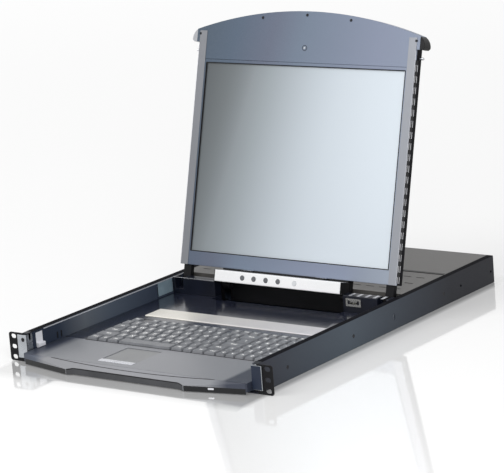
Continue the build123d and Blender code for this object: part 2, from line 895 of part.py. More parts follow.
# Corner blocks: hollow mouldings open at the back, slotted for the outer hinge arm.
arm_slot_low = hinge_z - hinge_depth - arm_slot_drop
usb_centre_x = well_half_width + usb_inset
usb_centre_z = block_top - usb_below_top
for side, hand in sides:
    with BuildPart() as corner_block:
        block(
            sided(side, well_half_width, deck_half),
            (block_front, block_rear),
            (deck_top, block_top),
        )
        front_edge = corner_block.edges().filter_by(Axis.X).sort_by(Axis.Y)[:2]
        fillet(front_edge.sort_by(Axis.Z)[-1:], block_round)
        block(
            sided(side, well_half_width + block_wall, outer_arm[0] - arm_slot_gap - block_wall),
            (block_front + block_wall, block_rear + cut_margin),
            (deck_top + block_wall, block_top - block_wall),
            mode=Mode.SUBTRACT,
        )
        block(
            sided(side, outer_arm[0] - arm_slot_gap, outer_arm[1] + arm_slot_gap),
            (block_front - cut_margin, block_rear + cut_margin),
            (arm_slot_low, block_top + cut_margin),
            mode=Mode.SUBTRACT,
        )
        if side > 0:
            with BuildSketch(Plane.XZ.offset(-block_front)):
                with Locations((usb_centre_x, usb_centre_z)):
                    Rectangle(usb_width + 2 * fit_gap, usb_height + 2 * fit_gap)
            extrude(amount=-block_wall, mode=Mode.SUBTRACT)
    corner_block.part.label = "corner_block_" + hand
    export_step(corner_block.part, "parts/corner_block_" + hand + ".step")

# USB socket: a drawn shell with its tongue, seated in the right block.
usb_rear_gap = 1.0
usb_front = block_front - usb_proud
usb_depth = block_depth - usb_rear_gap
usb_rear = usb_front + usb_depth
with BuildPart() as usb_socket:
    with BuildSketch(Plane.XZ.offset(-usb_front)):
        with Locations((usb_centre_x, usb_centre_z)):
            Rectangle(usb_width, usb_height)
            Rectangle(usb_width - 2 * usb_wall, usb_height - 2 * usb_wall, mode=Mode.SUBTRACT)
    extrude(amount=-usb_depth)
    block(
        (usb_centre_x - usb_width / 2, usb_centre_x + usb_width / 2),
        (usb_rear - usb_back, usb_rear),
        (usb_centre_z - usb_height / 2, usb_centre_z + usb_height / 2),
    )
    block(
        (usb_centre_x - usb_width / 2 + usb_tongue_inset, usb_centre_x + usb_width / 2 - usb_tongue_inset),
        (usb_front + usb_tongue_inset, usb_rear - usb_back),
        (usb_centre_z + usb_tongue_z[0], usb_centre_z + usb_tongue_z[1]),
    )
usb_socket.part.label = "usb_socket"
export_step(usb_socket.part, "parts/usb_socket.step")

# Hinge brackets: a barrel on a foot each side, between the two arms.
bracket_arm_gap = 2.5
bracket_inner = inner_arm[1] + bracket_arm_gap
bracket_outer = outer_arm[0] - bracket_arm_gap
bracket_foot_half = 9.0
bracket_foot_offset = 3.0
bracket_foot = 1.6
with BuildPart() as hinge_brackets:
    for side, hand in sides:
        with BuildSketch(Plane.YZ.offset(side * bracket_inner)):
            with Locations((hinge_y, hinge_z)):
                Circle(hinge_barrel_radius)
            with Locations((hinge_y, (hinge_z + floor_top) / 2)):
                Rectangle(hinge_barrel_radius, hinge_z - floor_top)
            with Locations((hinge_y + bracket_foot_offset, floor_top + bracket_foot / 2)):
                Rectangle(2 * bracket_foot_half, bracket_foot)
            with Locations((hinge_y, hinge_z)):
                Circle(hinge_pin_radius + hinge_running_gap, mode=Mode.SUBTRACT)
        extrude(amount=side * (bracket_outer - bracket_inner))
hinge_brackets.part.label = "hinge_brackets"
export_step(hinge_brackets.part, "parts/hinge_brackets.step")

# Hinge pins: one each side, through both arms and the bracket.
with BuildPart() as hinge_pins:
    for side, hand in sides:
        with BuildSketch(Plane.YZ.offset(side * inner_arm[0])):
            with Locations((hinge_y, hinge_z)):
                Circle(hinge_pin_radius)
        extrude(amount=side * (outer_arm[1] - inner_arm[0]))
hinge_pins.part.label = "hinge_pins"
export_step(hinge_pins.part, "parts/hinge_pins.step")

# Hinge arms: a knuckle round the pin and a tongue up into the lid.
with BuildPart() as hinge_arms:
    for side, hand in sides:
        for arm in (outer_arm, inner_arm):
            start = arm[0] if side < 0 else arm[1]
            with BuildSketch(lid_section(side * start)):
                with Locations((-hinge_drop, hinge_depth)):
                    Circle(hinge_barrel_radius)
                with BuildLine():
                    Polyline(
                        (-hinge_drop, arm_front),
                        (lid_foot + arm_tongue, arm_front),
                        (lid_foot + arm_tongue, arm_back),
                        (-hinge_drop, arm_back),
                        close=True,
                    )
                make_face()
                with Locations((-hinge_drop, hinge_depth)):
                    Circle(hinge_pin_radius + hinge_running_gap, mode=Mode.SUBTRACT)
            extrude(amount=arm[1] - arm[0])
hinge_arms.part.label = "hinge_arms"
export_step(hinge_arms.part, "parts/hinge_arms.step")

# Drawer rear cover, vented in rows, with a turned-down front lip.
cover_hinge_gap = 12.3
cover_front = hinge_y + cover_hinge_gap
cover_lip_drop = 20.0
vent_size = (15.0, 2.4)
vent_spacing = (24.0, 34.0)
vent_margin = 10.0
vent_room = (2 * wall_outer - 2 * vent_margin, pan_rear - cover_front - 2 * vent_margin)
vent_columns = 1 + int((vent_room[0] - vent_size[0]) / vent_spacing[0])
vent_rows = 1 + int((vent_room[1] - vent_size[1]) / vent_spacing[1])
with BuildPart() as drawer_rear_cover:
    block(
        (-wall_outer, wall_outer),
        (cover_front, pan_rear),
        (pan_wall_top, pan_wall_top + chassis_sheet),
    )
    block(
        (-wall_inner + fit_gap, wall_inner - fit_gap),
        (cover_front, cover_front + chassis_sheet),
        (pan_wall_top - cover_lip_drop, pan_wall_top),
    )
    with BuildSketch(Plane.XY.offset(pan_wall_top + chassis_sheet)):
        with Locations((0, (cover_front + pan_rear) / 2)):
            with GridLocations(vent_spacing[0], vent_spacing[1], vent_columns, vent_rows):
                Rectangle(vent_size[0], vent_size[1])
    extrude(amount=-2 * chassis_sheet, mode=Mode.SUBTRACT)
drawer_rear_cover.part.label = "drawer_rear_cover"
export_step(drawer_rear_cover.part, "parts/drawer_rear_cover.step")

# Controller board in the rear of the drawer, on four spacers. Each chip and plug is
# given by its left and front edges from the board's corner, its width and its depth.
controller_half = 90.0
controller_front_gap = 25.0
controller_rear_gap = 13.0
controller_y = (cover_front + controller_front_gap, pan_rear - controller_rear_gap)
controller_z = floor_top + stud_height
controller_depth = controller_y[1] - controller_y[0]
chip_height = 2.4
plug_height = 10.4
controller_chips = [(30.0, 15.0, 32.0, 32.0), (100.0, 30.0, 24.0, 24.0)]
controller_plug = (140.0, 60.0, 32.0, 14.0)


def on_board(corner, item, bottom, height):
    """A chip or plug on a board, placed from the board's left front corner."""
    left = corner[0] + item[0]
    front = corner[1] + item[1]
    block((left, left + item[2]), (front, front + item[3]), (bottom, bottom + height))


with BuildPart() as controller_board:
    controller_top = controller_z + board_sheet
    controller_corner = (-controller_half, controller_y[0])
    block((-controller_half, controller_half), controller_y, (controller_z, controller_top))
    with BuildSketch(Plane.XY.offset(floor_top)):
        with Locations((0, sum(controller_y) / 2)):
            stud_spread = (2 * (controller_half - stud_inset), controller_depth - 2 * stud_inset)
            with GridLocations(stud_spread[0], stud_spread[1], 2, 2):
                Circle(stud_radius)
    extrude(amount=stud_height)
    for chip in controller_chips:
        on_board(controller_corner, chip, controller_top, chip_height)
    on_board(controller_corner, controller_plug, controller_top, plug_height)
controller_board.part.label = "controller_board"
export_step(controller_board.part, "parts/controller_board.step")

# Main board in the rear bay, on the studs of the base pan.
board_z = chassis_sheet + stud_height
main_chips = [(68.0, 25.0, 30.0, 30.0), (148.0, 20.0, 28.0, 28.0), (198.0, 55.0, 24.0, 24.0)]
main_plug = (238.0, 10.0, 40.0, 15.0)
with BuildPart() as main_board:
    main_top = board_z + board_sheet
    main_corner = (board_x[0], board_y[0])
    block(board_x, board_y, (board_z, main_top))
    for chip in main_chips:
        on_board(main_corner, chip, main_top, chip_height)
    on_board(main_corner, main_plug, main_top, plug_height)
main_board.part.label = "main_board"
export_step(main_board.part, "parts/main_board.step")

# Power supply: a finned block on the base pan.
supply_front_gap = 8.0
supply_rear_gap = 35.0
supply_lip_gap = 1.6
supply_y = (rear_bay_front + supply_front_gap, chassis_length - supply_rear_gap)
supply_top = chassis_height - cover_lip - supply_lip_gap
groove_pitch = 10.0
groove_width = 4.0
groove_depth = 6.0
groove_count = 6
with BuildPart() as power_supply:
    block(supply_x, supply_y, (chassis_sheet, supply_top))
    with BuildSketch(Plane.XY.offset(supply_top)):
        with Locations((sum(supply_x) / 2, sum(supply_y) / 2)):
            with GridLocations(groove_pitch, groove_pitch, groove_count, 1):
                Rectangle(groove_width, supply_y[1] - supply_y[0] + cut_margin)
    extrude(amount=-groove_depth, mode=Mode.SUBTRACT)
power_supply.part.label = "power_supply"
export_step(power_supply.part, "parts/power_supply.step")

# Video ports: a row of D-shaped connectors, each with its flange and body.
port_flange = (30.8, 12.5)
port_shell = (16.9, 8.4)
port_shell_angle = 80
port_shell_wall = 0.6
port_mouth_depth = 1.2
port_flange_sheet = 1.0
port_proud = 6.5
port_body_depth = 14.0
with BuildPart() as video_ports:
    port_points = [(x, port_z) for x in port_centres]
    with BuildSketch(Plane.XZ.offset(-(chassis_length - port_body_depth))):
        with Locations(*port_points):
            Rectangle(port_body[0], port_body[1])
    extrude(amount=-port_body_depth)
    with BuildSketch(Plane.XZ.offset(-chassis_length)):
        with Locations(*port_points):
            Rectangle(port_flange[0], port_flange[1])
    extrude(amount=-port_flange_sheet)
    with BuildSketch(Plane.XZ.offset(-(chassis_length + port_flange_sheet))):
        with Locations(*port_points):
            Trapezoid(port_shell[0], port_shell[1], port_shell_angle)
    extrude(amount=-(port_proud - port_flange_sheet))
    with BuildSketch(Plane.XZ.offset(-(chassis_length + port_proud))):
        with Locations(*port_points):
            Trapezoid(
                port_shell[0] - 2 * port_shell_wall,
                port_shell[1] - 2 * port_shell_wall,
                port_shell_angle,
            )
    extrude(amount=port_mouth_depth, mode=Mode.SUBTRACT)
video_ports.part.label = "video_ports"
export_step(video_ports.part, "parts/video_ports.step")

# Console ports: two flanged connectors beside the inlet, each with two slots.
console_flange_margin = 5.0
console_flange_sheet = 1.5
console_slot = (13.0, 2.2)
console_slot_drop = 4.4
console_slot_depth = 8.0
with BuildPart() as console_ports:
    console_points = [(x, port_z) for x in console_centres]
    with BuildSketch(Plane.XZ.offset(-(chassis_length - port_body_depth))):
        with Locations(*console_points):
            Rectangle(port_body[0], port_body[1])
    extrude(amount=-port_body_depth)
    with BuildSketch(Plane.XZ.offset(-chassis_length)):
        with Locations(*console_points):
            Rectangle(port_body[0] + console_flange_margin, port_body[1] + console_flange_margin)
    extrude(amount=-console_flange_sheet)
    with BuildSketch(Plane.XZ.offset(-(chassis_length + console_flange_sheet))):
        for slot_z in (port_z, port_z - console_slot_drop):
            with Locations(*[(x, slot_z) for x in console_centres]):
                Rectangle(console_slot[0], console_slot[1])
    extrude(amount=console_slot_depth, mode=Mode.SUBTRACT)
console_ports.part.label = "console_ports"
export_step(console_ports.part, "parts/console_ports.step")

# Power inlet: one moulding with the mains mouth and the rocker's frame.
mouth_offset = 8.0
mouth_x = inlet_x - mouth_offset
mouth_size = (27.0, 19.5)
mouth_depth = 17.0
mouth_chamfer = 4.0
blade_size = (2.0, 4.0)
blade_length = 11.5
blade_spread = 7.0
blade_drop = 1.5
blade_rise = 2.5
blade_points = [
    (mouth_x - blade_spread, inlet_z - blade_drop),
    (mouth_x + blade_spread, inlet_z - blade_drop),
    (mouth_x, inlet_z + blade_rise),
]
rocker_offset = 15.5
rocker_x = inlet_x + rocker_offset
rocker_size = (9.0, 17.0)
rocker_tilt = 8.0
rocker_end_gap = 1.3
rocker_pocket = (rocker_size[0] + 2 * fit_gap, rocker_size[1] + 2 * rocker_end_gap)
rocker_pocket_depth = 9.0
inlet_flange = 2.0
inlet_round = 2.5
inlet_body_depth = 23.0
inlet_face = chassis_length + inlet_flange
with BuildPart() as power_inlet:
    with BuildSketch(Plane.XZ.offset(-(chassis_length - inlet_body_depth))):
        with Locations((inlet_x, inlet_z)):
            Rectangle(inlet_body[0], inlet_body[1])
    extrude(amount=-inlet_body_depth)
    with BuildSketch(Plane.XZ.offset(-chassis_length)):
        with Locations((inlet_x, inlet_z)):
            RectangleRounded(inlet_size[0], inlet_size[1], inlet_round)
    extrude(amount=-inlet_flange)
    with BuildSketch(Plane.XZ.offset(-inlet_face)) as inlet_mouth:
        with Locations((mouth_x, inlet_z)):
            Rectangle(mouth_size[0], mouth_size[1])
        chamfer(inlet_mouth.vertices().group_by(Axis.Y)[-1], mouth_chamfer)
    extrude(amount=mouth_depth, mode=Mode.SUBTRACT)
    with BuildSketch(Plane.XZ.offset(-inlet_face)):
        with Locations((rocker_x, inlet_z)):
            Rectangle(rocker_pocket[0], rocker_pocket[1])
    extrude(amount=rocker_pocket_depth, mode=Mode.SUBTRACT)
    with BuildSketch(Plane.XZ.offset(-(inlet_face - mouth_depth))):
        with Locations(*blade_points):
            Rectangle(blade_size[0], blade_size[1])
    extrude(amount=-blade_length)
power_inlet.part.label = "power_inlet"
export_step(power_inlet.part, "parts/power_inlet.step")

# Power rocker, tilted to its off side. Its pivot lies behind the face.
rocker_pivot_depth = 2.5
rocker_pivot_y = inlet_face - rocker_pivot_depth
rocker_end_rise = 2.6
rocker_waist_rise = 2.0
rocker_end_drop = 2.0
rocker_waist_drop = 3.0
rocker_end_draft = 1.5
rocker_half = rocker_size[1] / 2
tilt_cosine = math.cos(math.radians(rocker_tilt))
tilt_sine = math.sin(math.radians(rocker_tilt))
rocker_plane = Plane(
    origin=(rocker_x - rocker_size[0] / 2, rocker_pivot_y, inlet_z),
    x_dir=(0, tilt_cosine, tilt_sine),
    z_dir=(1, 0, 0),
)
with BuildPart() as power_rocker:
    with BuildSketch(rocker_plane):
        with BuildLine():
            Polyline(
                (-rocker_end_drop, rocker_end_draft - rocker_half),
                (rocker_end_rise, -rocker_half),
                (rocker_waist_rise, 0),
                (rocker_end_rise, rocker_half),
                (-rocker_end_drop, rocker_half - rocker_end_draft),
                (-rocker_waist_drop, 0),
                close=True,
            )
        make_face()
    extrude(amount=rocker_size[0])
power_rocker.part.label = "power_rocker"
export_step(power_rocker.part, "parts/power_rocker.step")

# Chassis screws: flush heads on the slides, and the earth stud at the rear.
head_sink = 0.1
head_gap = 0.2
earth_stud_inside = 2.0
earth_stud_length = 10.0
earth_nut_radius = 3.8
earth_nut_height = 2.5
with BuildPart() as chassis_screws:
    for side, hand in sides:
        with BuildSketch(Plane.YZ.offset(side * (chassis_half - head_sink))):
            with Locations(*slide_screw_points):
                Circle(screw_radius)
        extrude(amount=-side * (chassis_sheet + slide_sheet - head_sink))
        with BuildSketch(Plane.YZ.offset(side * (chassis_half - head_sink))):
            with Locations(*slide_screw_points):
                Circle(screw_head_radius - head_gap)
        extrude(amount=-side * (screw_head_depth - head_gap), taper=45)
    with BuildSketch(Plane.XZ.offset(-(panel_front - earth_stud_inside))):
        with Locations((earth_stud_x, earth_stud_z)):
            Circle(screw_radius)
    extrude(amount=-earth_stud_length)
    with BuildSketch(Plane.XZ.offset(-chassis_length)):
        with Locations((earth_stud_x, earth_stud_z)):
            RegularPolygon(earth_nut_radius, 6)
    extrude(amount=-earth_nut_height)
chassis_screws.part.label = "chassis_screws"
export_step(chassis_screws.part, "parts/chassis_screws.step")

# Lid bezel: a flat frame round the screen.
with BuildPart() as lid_bezel:
    with BuildSketch(lid_front):
        with Locations((0, (lid_foot + handle_seam) / 2)):
            Rectangle(2 * lid_half_width, handle_seam - lid_foot)
        with Locations((0, screen_height / 2)):
            Rectangle(screen_width, screen_height, mode=Mode.SUBTRACT)
    extrude(amount=-bezel_sheet)
lid_bezel.part.label = "lid_bezel"
export_step(lid_bezel.part, "parts/lid_bezel.step")

# Lid handle: the arched top. Its face is one sheet with the bezel and its upper part
# is as deep as the lid, with a ribbed pocket at the back.
seam_gap = 0.3
arch_end_rise = 1.4
arch_end = arch_shoulder + arch_end_rise
arch_pocket = 9.0
arch_wall = 2.5
pocket_inset = 54.3
pocket_end_rise = 14.0
pocket_half = lid_half_width - pocket_inset
pocket_end = shell_top + pocket_end_rise
rib_centres = (-pocket_half / 2, 0.0, pocket_half / 2)
lid_back = lid_front.offset(-lid_thickness)
bumper_side_drop = 12.0
bumper_middle_drop = 6.0
bumper_points = [
    (-84.0, arch_top - bumper_side_drop),
    (0.0, arch_top - bumper_middle_drop),
    (82.0, arch_top - bumper_side_drop),
]
tab_screw_inset = 6.5
tab_screw_drop = 6.0
tab_screw_points = [
    (side * (wing_half_width - tab_screw_inset), arch_shoulder - tab_screw_drop)
    for side, hand in sides
]
small_screw_radius = 1.2
small_screw_hole = 1.25
small_screw_depth = 4.0
small_screw_bottom = 0.2
small_head_radius = 2.4
small_head_height = 0.8
small_head_taper = 25
with BuildPart() as lid_handle:
    with BuildSketch(lid_front):
        with BuildLine():
            ThreePointArc(
                (-wing_half_width, arch_end),
                (0, arch_top),
                (wing_half_width, arch_end),
            )
            Polyline(
                (wing_half_width, arch_end),
                (wing_half_width, wing_bottom),
                (lid_half_width, wing_bottom),
                (lid_half_width, handle_seam + seam_gap),
                (-lid_half_width, handle_seam + seam_gap),
                (-lid_half_width, wing_bottom),
                (-wing_half_width, wing_bottom),
                (-wing_half_width, arch_end),
            )
        make_face()
    extrude(amount=-bezel_sheet)
    with BuildSketch(lid_front.offset(-bezel_sheet)):
        with BuildLine():
            ThreePointArc(
                (-wing_half_width, arch_end),
                (0, arch_top),
                (wing_half_width, arch_end),
            )
            Polyline(
                (wing_half_width, arch_end),
                (wing_half_width, shell_top + seam_gap),
                (-wing_half_width, shell_top + seam_gap),
                (-wing_half_width, arch_end),
            )
        make_face()
    extrude(amount=bezel_sheet - lid_thickness)
    with BuildSketch(lid_back):
        with BuildLine():
            ThreePointArc(
                (-pocket_half, pocket_end),
                (0, arch_top - arch_wall),
                (pocket_half, pocket_end),
            )
            Polyline(
                (pocket_half, pocket_end),
                (pocket_half, shell_top + arch_wall),
                (-pocket_half, shell_top + arch_wall),
                (-pocket_half, pocket_end),
            )
        make_face()
        for rib_x in rib_centres:
            with Locations((rib_x, (shell_top + arch_top) / 2)):
                Rectangle(arch_wall, arch_top - shell_top, mode=Mode.SUBTRACT)
    extrude(amount=arch_pocket, mode=Mode.SUBTRACT)
    with BuildSketch(lid_front):
        with Locations(*bumper_points, *tab_screw_points):
            Circle(small_screw_hole)
    extrude(amount=-small_screw_depth, mode=Mode.SUBTRACT)
lid_handle.part.label = "lid_handle"
export_step(lid_handle.part, "parts/lid_handle.step")

# Wing end caps: black quarter-round mouldings at the ends of the arch.
cap_top_rise = 1.0
cap_rise = arch_shoulder + cap_top_rise - wing_bottom
cap_corner = 3.0
cap_shoulder_inset = 2.0
cap_shoulder_rise = 12.4
cap_shoulder = (cap_shoulder_inset, cap_shoulder_rise)
with BuildPart() as wing_end_caps:
    for side, hand in sides:
        with BuildSketch(lid_front):
            with BuildLine():
                Polyline(
                    (side * (cap_half_width - cap_corner), wing_bottom),
                    (side * wing_half_width, wing_bottom),
                    (side * wing_half_width, wing_bottom + cap_rise),
                )
                ThreePointArc(
                    (side * wing_half_width, wing_bottom + cap_rise),
                    (side * (cap_half_width - cap_shoulder[0]), wing_bottom + cap_shoulder[1]),
                    (side * cap_half_width, wing_bottom + cap_corner),
                )
                Line(
                    (side * cap_half_width, wing_bottom + cap_corner),
                    (side * (cap_half_width - cap_corner), wing_bottom),
                )
            make_face()
        extrude(amount=-lid_thickness)
wing_end_caps.part.label = "wing_end_caps"
export_step(wing_end_caps.part, "parts/wing_end_caps.step")

# Display panel: the glass edge sits behind the bezel with its metal can behind it.
panel_half = screen_width / 2 + screen_border
panel_back = bezel_sheet + panel_thickness
with BuildPart() as lcd_panel:
    with BuildSketch(lid_front.offset(-bezel_sheet)):
        with Locations((0, screen_height / 2)):
            Rectangle(2 * panel_half, screen_height + 2 * screen_border)
    extrude(amount=-panel_glass)
    with BuildSketch(lid_front.offset(-bezel_sheet - panel_glass)):
        with Locations((0, screen_height / 2)):
            Rectangle(
                2 * (panel_half - panel_can_step),
                screen_height + 2 * (screen_border - panel_can_step),
            )
    extrude(amount=panel_glass - panel_thickness)
lcd_panel.part.label = "lcd_panel"
export_step(lcd_panel.part, "parts/lcd_panel.step")

# Driver board behind the panel.
driver_size = (120.0, 90.0)
driver_chip = 24.0
driver_chip_height = 1.5
driver_chip_places = [(-25.0, 0.0), (30.0, 15.0)]
driver_chip_points = [(x, screen_height / 2 + rise) for x, rise in driver_chip_places]
with BuildPart() as lcd_driver_board:
    with BuildSketch(lid_front.offset(-panel_back)):
        with Locations((0, screen_height / 2)):
            Rectangle(driver_size[0], driver_size[1])
    extrude(amount=-board_sheet)
    with BuildSketch(lid_front.offset(-panel_back - board_sheet)):
        with Locations(*driver_chip_points):
            Rectangle(driver_chip, driver_chip)
    extrude(amount=-driver_chip_height)
lcd_driver_board.part.label = "lcd_driver_board"
export_step(lcd_driver_board.part, "parts/lcd_driver_board.step")

# Back shell: a folded tray that closes the lid, slotted below for the hinge arms and
# bored at its sides for the lock pins.
pin_centre = (
    lid_front.origin.Y + lock_pin_height * lean_sine + lock_pin_depth * lean_cosine,
    lid_front.origin.Z + lock_pin_height * lean_cosine - lock_pin_depth * lean_sine,
)
with BuildPart() as lid_back_shell:
    with BuildSketch(lid_front.offset(-bezel_sheet)):
        with Locations((0, (lid_foot + shell_top) / 2)):
            Rectangle(2 * lid_half_width, shell_top - lid_foot)
    extrude(amount=bezel_sheet - lid_thickness)
    back_edges = lid_back_shell.edges().group_by(Axis((0, 0, 0), lid_front.z_dir))[0]
    fillet(back_edges, shell_round)
    with BuildSketch(lid_front.offset(-bezel_sheet)):
        with Locations((0, (lid_foot + shell_top) / 2)):
            Rectangle(2 * (lid_half_width - shell_sheet), shell_top - lid_foot - 2 * shell_sheet)
    extrude(amount=bezel_sheet - lid_thickness + shell_sheet, mode=Mode.SUBTRACT)
    for side, hand in sides:
        for arm in (outer_arm, inner_arm):
            with BuildSketch(lid_front.offset(-bezel_sheet)):
                with Locations((side * (arm[0] + arm[1]) / 2, lid_foot)):
                    Rectangle(arm[1] - arm[0] + 2 * fit_gap, 2 * shell_sheet + cut_margin)
            extrude(amount=bezel_sheet - arm_back - fit_gap, mode=Mode.SUBTRACT)
        with BuildSketch(Plane.YZ.offset(side * (lid_half_width + cut_margin))):
            with Locations(pin_centre):
                Circle(lock_pin_radius + hinge_running_gap)
        extrude(amount=-side * (shell_sheet + 2 * cut_margin), mode=Mode.SUBTRACT)
lid_back_shell.part.label = "lid_back_shell"
export_step(lid_back_shell.part, "parts/lid_back_shell.step")

# Lock pins: turned pins out of the lid's sides, with a collar inside the shell.
collar_face = lid_half_width - shell_sheet
lock_pin_tip = ear_inner - lock_pin_clearance
with BuildPart() as lock_pins:
    for side, hand in sides:
        with BuildSketch(Plane.YZ.offset(side * collar_face)):
            with Locations(pin_centre):
                Circle(lock_pin_radius)
        extrude(amount=side * (lock_pin_tip - collar_face))
        with BuildSketch(Plane.YZ.offset(side * collar_face)):
            with Locations(pin_centre):
                Circle(2 * lock_pin_radius)
        extrude(amount=-side * lock_collar_length)
    tip_edges = lock_pins.edges().filter_by(GeomType.CIRCLE).group_by(Axis.X)
    chamfer([*tip_edges[0], *tip_edges[-1]], lock_pin_chamfer)
lock_pins.part.label = "lock_pins"
export_step(lock_pins.part, "parts/lock_pins.step")

# Lid screws and bumpers: small domed heads on the arch.
with BuildPart() as lid_screws:
    with BuildSketch(lid_front.offset(small_screw_bottom - small_screw_depth)):
        with Locations(*bumper_points, *tab_screw_points):
            Circle(small_screw_radius)
    extrude(amount=small_screw_depth - small_screw_bottom)
    with BuildSketch(lid_front):
        with Locations(*bumper_points, *tab_screw_points):
            Circle(small_head_radius)
    extrude(amount=small_head_height, taper=small_head_taper)
lid_screws.part.label = "lid_screws"
export_step(lid_screws.part, "parts/lid_screws.step")

# Control bar: a moulding below the lid's foot that carries the screen's buttons.
button_h = (bar_low + bar_high) / 2
bar_lug_x = bar_half_width - bar_lug_inset
button_clearance = 0.25
bar_plane = lid_front.offset(bar_offset)
with BuildPart() as control_bar:
    with BuildSketch(bar_plane):
        with Locations((0, button_h)):
            Rectangle(2 * bar_half_width, bar_high - bar_low)
    extrude(amount=bar_back - bar_offset)
    bar_front_edges = control_bar.edges().group_by(Axis((0, 0, 0), lid_front.z_dir))[-1]
    fillet(bar_front_edges, bar_radius)
    with BuildSketch(lid_front.offset(bar_back)):
        with Locations((0, button_h)):
            Rectangle(2 * (bar_half_width - bar_wall), bar_high - bar_low - 2 * bar_wall)
    extrude(
        amount=bar_offset - bar_back - button_pocket - button_pocket_floor,
        mode=Mode.SUBTRACT,
    )
    for side, hand in sides:
        with BuildSketch(lid_front.offset(bar_back - bar_lug_back)):
            with Locations((side * bar_lug_x, (bar_high + lid_foot) / 2)):
                Rectangle(bar_lug_width, lid_foot - bar_high)
        extrude(amount=bar_lug_back - bar_back + bar_lug_front)
    with BuildSketch(bar_plane):
        with Locations(*[(x, button_h) for x in button_centres + (power_button_x,)]):
            Circle(button_radius + button_clearance)
    extrude(amount=-button_pocket, mode=Mode.SUBTRACT)
control_bar.part.label = "control_bar"
export_step(control_bar.part, "parts/control_bar.step")

# Bar buttons: four menu buttons and the power button, each a short plunger.
button_names = ["menu_button_1", "menu_button_2", "menu_button_3", "menu_button_4", "power_button"]
for name, x in zip(button_names, button_centres + (power_button_x,)):
    with BuildPart() as bar_button:
        with BuildSketch(bar_plane.offset(button_proud)):
            with Locations((x, button_h)):
                Circle(button_radius)
        extrude(amount=button_rear_gap - button_proud - button_pocket)
        crown = bar_button.edges().group_by(Axis((0, 0, 0), lid_front.z_dir))[-1]
        fillet(crown, button_round)
    bar_button.part.label = name
    export_step(bar_button.part, "parts/" + name + ".step")
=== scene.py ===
import json
import math

import bpy
from mathutils import Matrix, Vector


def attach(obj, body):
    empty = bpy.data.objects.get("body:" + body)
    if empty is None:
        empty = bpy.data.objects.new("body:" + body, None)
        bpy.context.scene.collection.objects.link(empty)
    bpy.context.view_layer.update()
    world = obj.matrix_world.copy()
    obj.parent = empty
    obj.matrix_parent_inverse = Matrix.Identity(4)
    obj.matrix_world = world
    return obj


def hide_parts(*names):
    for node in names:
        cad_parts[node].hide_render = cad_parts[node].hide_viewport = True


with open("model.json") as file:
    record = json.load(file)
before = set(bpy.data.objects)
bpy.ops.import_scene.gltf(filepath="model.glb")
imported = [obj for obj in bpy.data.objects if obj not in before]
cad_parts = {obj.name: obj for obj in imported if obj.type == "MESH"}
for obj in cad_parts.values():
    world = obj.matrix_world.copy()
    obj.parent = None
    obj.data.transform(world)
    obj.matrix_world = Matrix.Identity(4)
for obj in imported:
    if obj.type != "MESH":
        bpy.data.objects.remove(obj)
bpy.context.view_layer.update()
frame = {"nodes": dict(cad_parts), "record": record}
nodes = frame["nodes"]
mm = 0.001

print("stage: frame loaded,", len(nodes), "nodes")

# The lid's own frame: x to the right, y up the lid, z out of its front.
lid = {"lean": 15.67, "hingeY": 372.7, "hingeZ": 32.5, "drop": 47.9, "depth": 6.5}
leanSine = math.sin(math.radians(lid["lean"]))
leanCosine = math.cos(math.radians(lid["lean"]))
lidOrigin = Vector((
    0,
    (lid["hingeY"] + lid["drop"] * leanSine - lid["depth"] * leanCosine) * mm,
    (lid["hingeZ"] + lid["drop"] * leanCosine + lid["depth"] * leanSine) * mm,
))
lidMatrix = Matrix((
    (1, 0, 0, lidOrigin.x),
    (0, leanSine, -leanCosine, lidOrigin.y),
    (0, leanCosine, leanSine, lidOrigin.z),
    (0, 0, 0, 1),
))


def clearSelection():
    if bpy.context.mode != "OBJECT":
        bpy.ops.object.mode_set(mode="OBJECT")
    bpy.ops.object.select_all(action="DESELECT")


def pick(piece):
    clearSelection()
    piece.select_set(True)
    bpy.context.view_layer.objects.active = piece


def settle(piece):
    pick(piece)
    bpy.ops.object.transform_apply(location=True, rotation=True, scale=True)
    return piece


def addBlock(name, low, high):
    clearSelection()
    centre = [(a + b) / 2 * mm for a, b in zip(low, high)]
    bpy.ops.mesh.primitive_cube_add(size=1, location=centre)
    piece = bpy.context.object
    piece.name = name
    piece.scale = [abs(b - a) * mm for a, b in zip(low, high)]
    return settle(piece)


def addPair(name, x, y, z, width, segments=2):
    # The same softened block on the left and on the right.
    blocks = [addBlock(name, *zip([side * value for value in x], y, z)) for side in (-1, 1)]
    return [soften(piece, width, segments) for piece in blocks]


def addRound(name, centre, radius, depth, sides=24, turn=(0, 0, 0)):
    clearSelection()
    bpy.ops.mesh.primitive_cylinder_add(
        vertices=sides, radius=radius * mm, depth=depth * mm,
        location=[value * mm for value in centre], rotation=turn,
    )
    piece = bpy.context.object
    piece.name = name
    return settle(piece)


def chooseFaces(piece, test):
    # Leaves edit mode on with only the faces that pass the test selected.
    pick(piece)
    bpy.ops.object.mode_set(mode="EDIT")
    bpy.ops.mesh.select_mode(type="FACE")
    bpy.ops.mesh.select_all(action="DESELECT")
    bpy.ops.object.mode_set(mode="OBJECT")
    for face in piece.data.polygons:
        face.select = test(face)
    bpy.ops.object.mode_set(mode="EDIT")


def soften(piece, width, segments=2, angle=35):
    # Rounds every edge sharper than the angle, width in millimetres.
    pick(piece)
    bevel = piece.modifiers.new("edges", "BEVEL")
    bevel.width = width * mm
    bevel.segments = segments
    bevel.limit_method = "ANGLE"
    bevel.angle_limit = math.radians(angle)
    bpy.ops.object.modifier_apply(modifier=bevel.name)
    bpy.ops.object.shade_smooth_by_angle(angle=math.radians(40))
    # Large faces keep their own normals, so a flat face shades flat up to its rounded edge.
    weights = piece.modifiers.new("flats", "WEIGHTED_NORMAL")
    weights.keep_sharp = True
    weights.weight = 90
    bpy.ops.object.modifier_apply(modifier=weights.name)
    return piece


